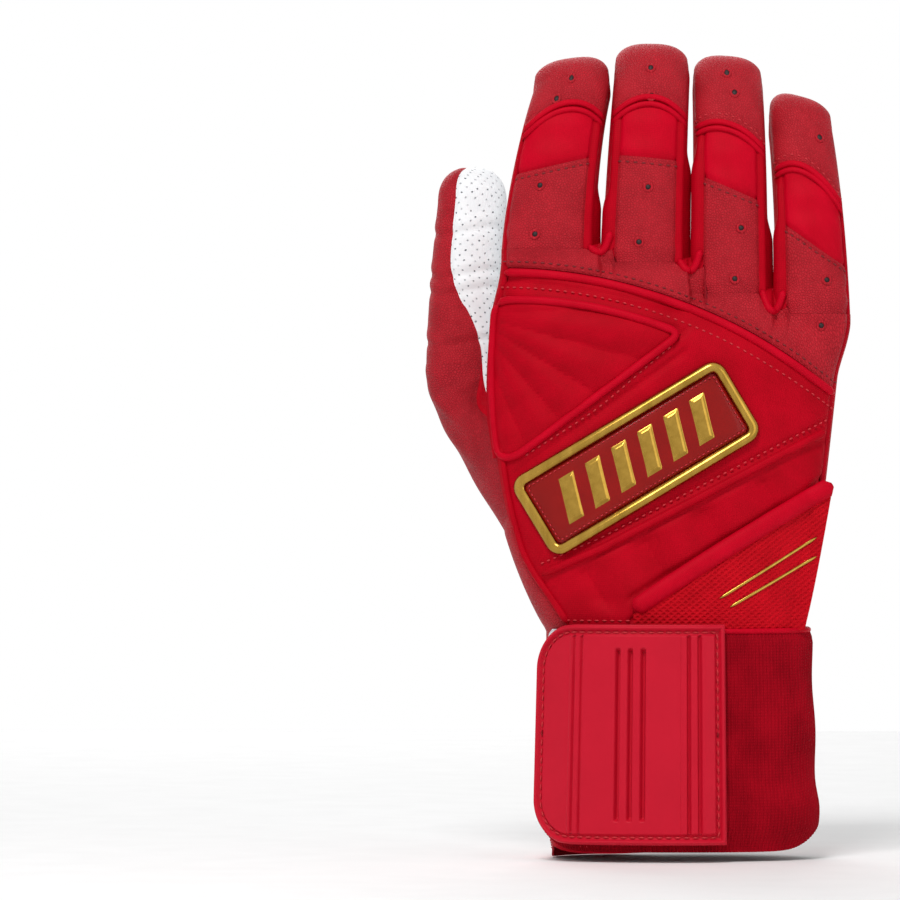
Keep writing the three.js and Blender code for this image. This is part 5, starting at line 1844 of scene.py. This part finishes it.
sew_on(stitching("wrist_stitches", [wrist_seam], RED_THREAD, pitch=2.3, length=1.4), "red_spandex")
print("back edged from", EDGE_TOP, "mm down to the wrist")

# %% [markdown]
# ## Cuff and closure
# The cuff is rib knit: each rib is a real ridge a little over a millimetre wide, because a pattern in
# the finish would leave a smooth outline. The closed tab draws it in at the thumb side, where the ribs
# bunch up. A thin roll binds its upper edge.

# %% Ribbed cuff
RIB_PITCH, RIB_HIGH, RIB_ROUND, RIB_COLUMNS, HEM_RISE, HEM_PALM = 1.15, 0.3, 0.7, 6, 5.0, 5.0
CINCH, CINCH_WIDTH, HEM_BULGE, HEM_DRAWN, TOP_DRAWN = 2.2, 0.75, 0.7, 2.4, 0.9
WAVE_DEEP, BUNCH_DEEP, TOP_ROLL = 0.3, 0.55, (0.75, 0.8)
ring_turns = np.linspace(0, 2 * np.pi, 4000)
ring_run = run_along(cuff_point(ring_turns, CUFF_HEIGHT / 2, 0.0))
RIBS = int(round(ring_run[-1] / RIB_PITCH))


def cinch(angle):
    """How far the closed tab draws the cuff in at the thumb side."""
    return -CINCH * bump_at(np.mod(angle, 2 * np.pi), np.pi, CINCH_WIDTH)


def cuff_hem(angle):
    """The cuff's lower edge, which rises at both sides of the wrist and on the palm."""
    beside = np.minimum(np.mod(angle, np.pi), np.pi - np.mod(angle, np.pi))
    return HEM_RISE * bump_at(beside, 0.0, 0.42) + HEM_PALM * ease((np.sin(angle) + 0.35) / 0.7)


def drawn_in(z):
    """The hem pulls in below a slight bulge."""
    return HEM_BULGE * bump_at(z, 13.0, 5.0) - HEM_DRAWN * ease((8.0 - z) / 8.0)


def cuff_turn(run):
    """The angle round the cuff at a distance round it."""
    turns = np.floor(run / ring_run[-1])
    return np.interp(run - turns * ring_run[-1], ring_run, ring_turns) + 2 * np.pi * turns


def cuff_place(u, v, lift):
    """The cuff with its ribs, slow waves and the bunch at the thumb side."""
    angle = cuff_turn(u * ring_run[-1])
    z = mix(cuff_hem(angle), CUFF_HEIGHT, v)
    rib = RIB_HIGH * (np.abs(np.sin(np.pi * RIBS * u)) ** RIB_ROUND - 1.0)
    wave = WAVE_DEEP * np.sin(z / 4.4 + 2 * np.sin(angle)) * np.cos(angle) ** 2
    bunched = BUNCH_DEEP * np.sin(z / 2.1) * bump_at(np.mod(angle, 2 * np.pi), np.pi - 0.25, 0.4)
    top = -TOP_DRAWN * ease((z - CUFF_HEIGHT + 3.0) / 3.0)
    return cuff_point(angle, z, lift + rib + wave + bunched + top + drawn_in(z) + cinch(angle))


cuff = panel("ribbed_cuff", cuff_place, RIBS * RIB_COLUMNS, 30, CUFF_KNIT_FINISH, CUFF_KNIT, ring=True)
sew_on(cuff, "red_knit", "cuff_sleeve")
turn = np.linspace(0, 2 * np.pi, 10, endpoint=False)
spots = cuff_turn(np.linspace(0, ring_run[-1], 260, endpoint=False))[:, None]
roll_lift = TOP_ROLL[0] * np.cos(turn) - TOP_DRAWN + cinch(spots)
roll_points = cuff_point(spots, CUFF_HEIGHT + TOP_ROLL[1] * np.sin(turn), roll_lift)
sew_on(ring_piece("cuff_top_roll", roll_points, SPANDEX_EDGE), "red_spandex")
print(RIBS, "ribs round the cuff")

# %% [markdown]
# A stretch flap is sewn inside the cuff's mouth. It hangs lowest on the palm and runs out towards the
# back. It is drawn on the cuff's own surface, a little further in, so it follows the mouth.

# %% Flap
FLAP_FROM, FLAP_TO, FLAP_FADE = (math.radians(turn) for turn in (88.0, 305.0, 200.0))
FLAP_TOP, FLAP_DROP, FLAP_INSIDE, FLAP_WAVE = 14.0, 2.6, 0.6, 0.2


def flap_place(u, v, lift):
    """The flap comes out from inside the knit's wall, so that only its hanging part shows."""
    angle = mix(FLAP_FROM, FLAP_TO, u)
    ends = ease((angle - FLAP_FROM) / 0.5) * ease((FLAP_TO - angle) / 1.2)
    hanging = ends * (0.5 + 0.5 * ease((FLAP_FADE - angle) / 0.6))
    z = mix(mix(cuff_hem(angle) + 1.5, -FLAP_DROP, hanging), FLAP_TOP, v)
    wave = FLAP_WAVE * np.sin(u * 40)
    return cuff_point(angle, z, lift - FLAP_INSIDE + wave + drawn_in(z) + cinch(angle))


flap = panel("mouth_flap", flap_place, 120, 20, SPANDEX_EDGE)
sew_on(flap, "red_spandex", "cuff_flap")
line_u = np.linspace(0.08, 0.9, 120)
flap_edge = [flap_place(line_u, 0.14 + 0 * line_u, up) for up in (0.05, 1.05)]
sew_on(stitching("flap_stitches", [flap_edge], RED_THREAD, pitch=2.4, length=1.5), "red_rubber")
print("flap hangs", FLAP_DROP, "mm below the cuff")

# %% [markdown]
# The moulded tab is sewn down at one end and closes on brushed tape. Its free end leaves the round
# cuff and stays straight. Its face is one height map: a raised rim with a stitched groove, two pressed
# lines near the free end, three long grooves, and a stepped ridge near the sewn end.

# %% Closure surfaces
TAB_HINGE_X, TAB_LENGTH, TAB_CORNER, TAB_LIFT, TAB_THICK = 12.9, 55.4, 13.0, 3.9, 2.2
TAB_STRAIGHT, TAB_SEWN, TAB_DOWN, TAB_LOW, TAB_HIGH = 46.0, 7.0, 1.4, 2.4, 66.0
hinge_run = np.interp(2 * np.pi - cuff_angle(TAB_HINGE_X, CUFF_HEIGHT / 2), ring_turns, ring_run)


def round_cuff(a, z, lift):
    """A point of the cuff at a round it from the tab's sewn edge."""
    angle = cuff_turn(hinge_run - a)
    return cuff_point(angle, z, lift + cinch(angle))


def on_closure(a, z, lift):
    """A point at a from the sewn edge; the tab's free end leaves the round cuff and stays straight."""
    held = np.minimum(a, TAB_STRAIGHT)
    sewn = TAB_DOWN * ease(1 - a / TAB_SEWN)
    along = unit(round_cuff(TAB_STRAIGHT, z, TAB_LIFT) - round_cuff(TAB_STRAIGHT - 0.5, z, TAB_LIFT))
    return round_cuff(held, z, lift - sewn) + (a - held)[..., None] * along


def closure_surface(surface, margin, low, high, length, corner, lift, relief):
    """A tape or tab on the back of the cuff: u from the sewn edge to the free end, v upward."""
    def place(u, v, up):
        z = mix(low, high, v)
        near = np.clip(corner - np.minimum(z - low, high - z), 0, corner)
        cut = corner - np.sqrt(corner ** 2 - near ** 2)
        a = mix(margin, length - cut, u)
        inner = np.hypot(np.maximum(0.0, a - length + corner), near)
        edge = np.minimum(np.minimum(a - margin, z - low), np.minimum(length - a, high - z))
        edge = np.where((a > length - corner) & (near > 0), corner - inner, edge)
        a, z, edge = np.broadcast_arrays(a, z, edge)
        shape = relief(a, z, np.maximum(0.0, edge)) if up == 0.0 else 0.0 * a
        return surface(a, z, up + lift + shape)
    return place


def flat_relief(a, z, edge):
    """A tape's plain face."""
    return 0.0 * a


print("tab", TAB_LENGTH, "mm long,", TAB_HIGH - TAB_LOW, "mm tall")

# %% [markdown]
# The relief is a sum of grooves and steps by the distance from the sewn edge and from the border. They
# could be cut out as shapes, but a height map keeps the mesh an even grid.

# %% Tab and tapes
RIM_WIDTH, RIM_HIGH, RIM_ROUND, GROOVE_IN, GROOVE_SUNK = 1.1, 0.45, 0.8, 2.2, 0.6
LINES_AT, GROOVES_AT, GROOVE_MARGIN = (39.9, 42.2), (22.6, 26.1, 29.5), 6.6
RIDGES_AT, RIDGE_END, RIDGE_HIGH = ((7.4, 0.5), (10.3, 0.45)), 12.6, 0.3
FIELD_FROM, FIELD_SUNK = 43.0, 0.25
# Width and depth of a pressed line, a long groove and the stitched groove, and depth of a step.
LINE_CUT, GROOVE_CUT, STITCHED_CUT, STEP_DEEP = (0.4, 1.0), (0.6, 1.7), (0.75, 0.8), 1.3
# Margin at the sewn edge, lowest and highest z, length, corner radius and lift.
TAB_PLAN = (0.0, TAB_LOW, TAB_HIGH, TAB_LENGTH, TAB_CORNER, TAB_LIFT)
HOOK_PLAN = (9.0, 8.3, 59.0, TAB_LENGTH - 4.0, 9.0, 1.8)
LOOP_PLAN = (4.0, 10.0, 64.4, TAB_LENGTH + 2.0, 3.0, 1.0)


def groove(x, middle, width, deep):
    """A groove with a flat bottom round a middle."""
    return -deep * np.exp(-(((x - middle) / width) ** 4))


def tab_relief(a, z, edge):
    """Rim, stitched groove, pressed lines, long grooves and the stepped ridge of the moulded tab."""
    inside = ease((edge - GROOVE_IN - 0.8) / 0.4)
    long = ease((z - TAB_LOW - GROOVE_MARGIN) / 1.2) * ease((TAB_HIGH - GROOVE_MARGIN - z) / 1.2)
    lines = sum(groove(a, at, *LINE_CUT) for at in LINES_AT)
    grooves = sum(groove(a, at, *GROOVE_CUT) for at in GROOVES_AT)
    ridges = RIDGE_HIGH * ease((RIDGE_END - a) / 0.3)
    ridges = ridges + sum(groove(a, at, wide, STEP_DEEP) for at, wide in RIDGES_AT)
    field = -FIELD_SUNK * ease((a - FIELD_FROM) / 0.6)
    rim = RIM_HIGH * ease((RIM_WIDTH + 0.5 - edge) / 0.5) - RIM_ROUND * ease(1 - edge / 0.7)
    rim = rim + groove(edge, GROOVE_IN, *STITCHED_CUT)
    return rim + grooves * long + (lines + ridges + field) * inside


tab_face = closure_surface(on_closure, *TAB_PLAN, tab_relief)
hook_face = closure_surface(on_closure, *HOOK_PLAN, flat_relief)
loop_face = closure_surface(round_cuff, *LOOP_PLAN, flat_relief)
tab = panel("moulded_tab", tab_face, 230, 150, RUBBER, thickness=TAB_THICK)
sew_on(tab, "red_rubber", "closure_tab", "closure")
sew_on(panel("hook_tape", hook_face, 30, 20, LOOP_TAPE, thickness=0.6), "tape", "hook_patch", "closure")
sew_on(panel("loop_tape", loop_face, 60, 40, LOOP_TAPE, thickness=0.7), "tape", "loop_patch")
middle_z, turn_a, turn_radius = (TAB_LOW + TAB_HIGH) / 2, TAB_LENGTH - TAB_CORNER, TAB_CORNER - GROOVE_IN
quarter = np.linspace(0, np.pi / 2, 20)[1:]
a_line = np.concatenate([np.full(60, GROOVE_IN), np.linspace(GROOVE_IN, turn_a, 80)[1:],
                         turn_a + turn_radius * np.sin(quarter), np.full(39, TAB_LENGTH - GROOVE_IN)])
z_line = np.concatenate([np.linspace(middle_z, TAB_LOW + GROOVE_IN, 60), np.full(79, TAB_LOW + GROOVE_IN),
                         TAB_LOW + TAB_CORNER - turn_radius * np.cos(quarter),
                         np.linspace(TAB_LOW + TAB_CORNER, middle_z, 40)[1:]])
halves = [[on_closure(a_line, z, TAB_LIFT - GROOVE_SUNK + up) for up in (0.0, 1.0)]
          for z in (z_line, TAB_LOW + TAB_HIGH - z_line)]
tab_stitches = stitching("tab_stitches", halves, RED_THREAD, pitch=2.6, length=1.9, radius=0.3)
sew_on(tab_stitches, "red_rubber", body="closure")
print("closure tab", len(tab.data.polygons), "faces")

# %% [markdown]
# ## End

# %% End
print("the glove is dressed")
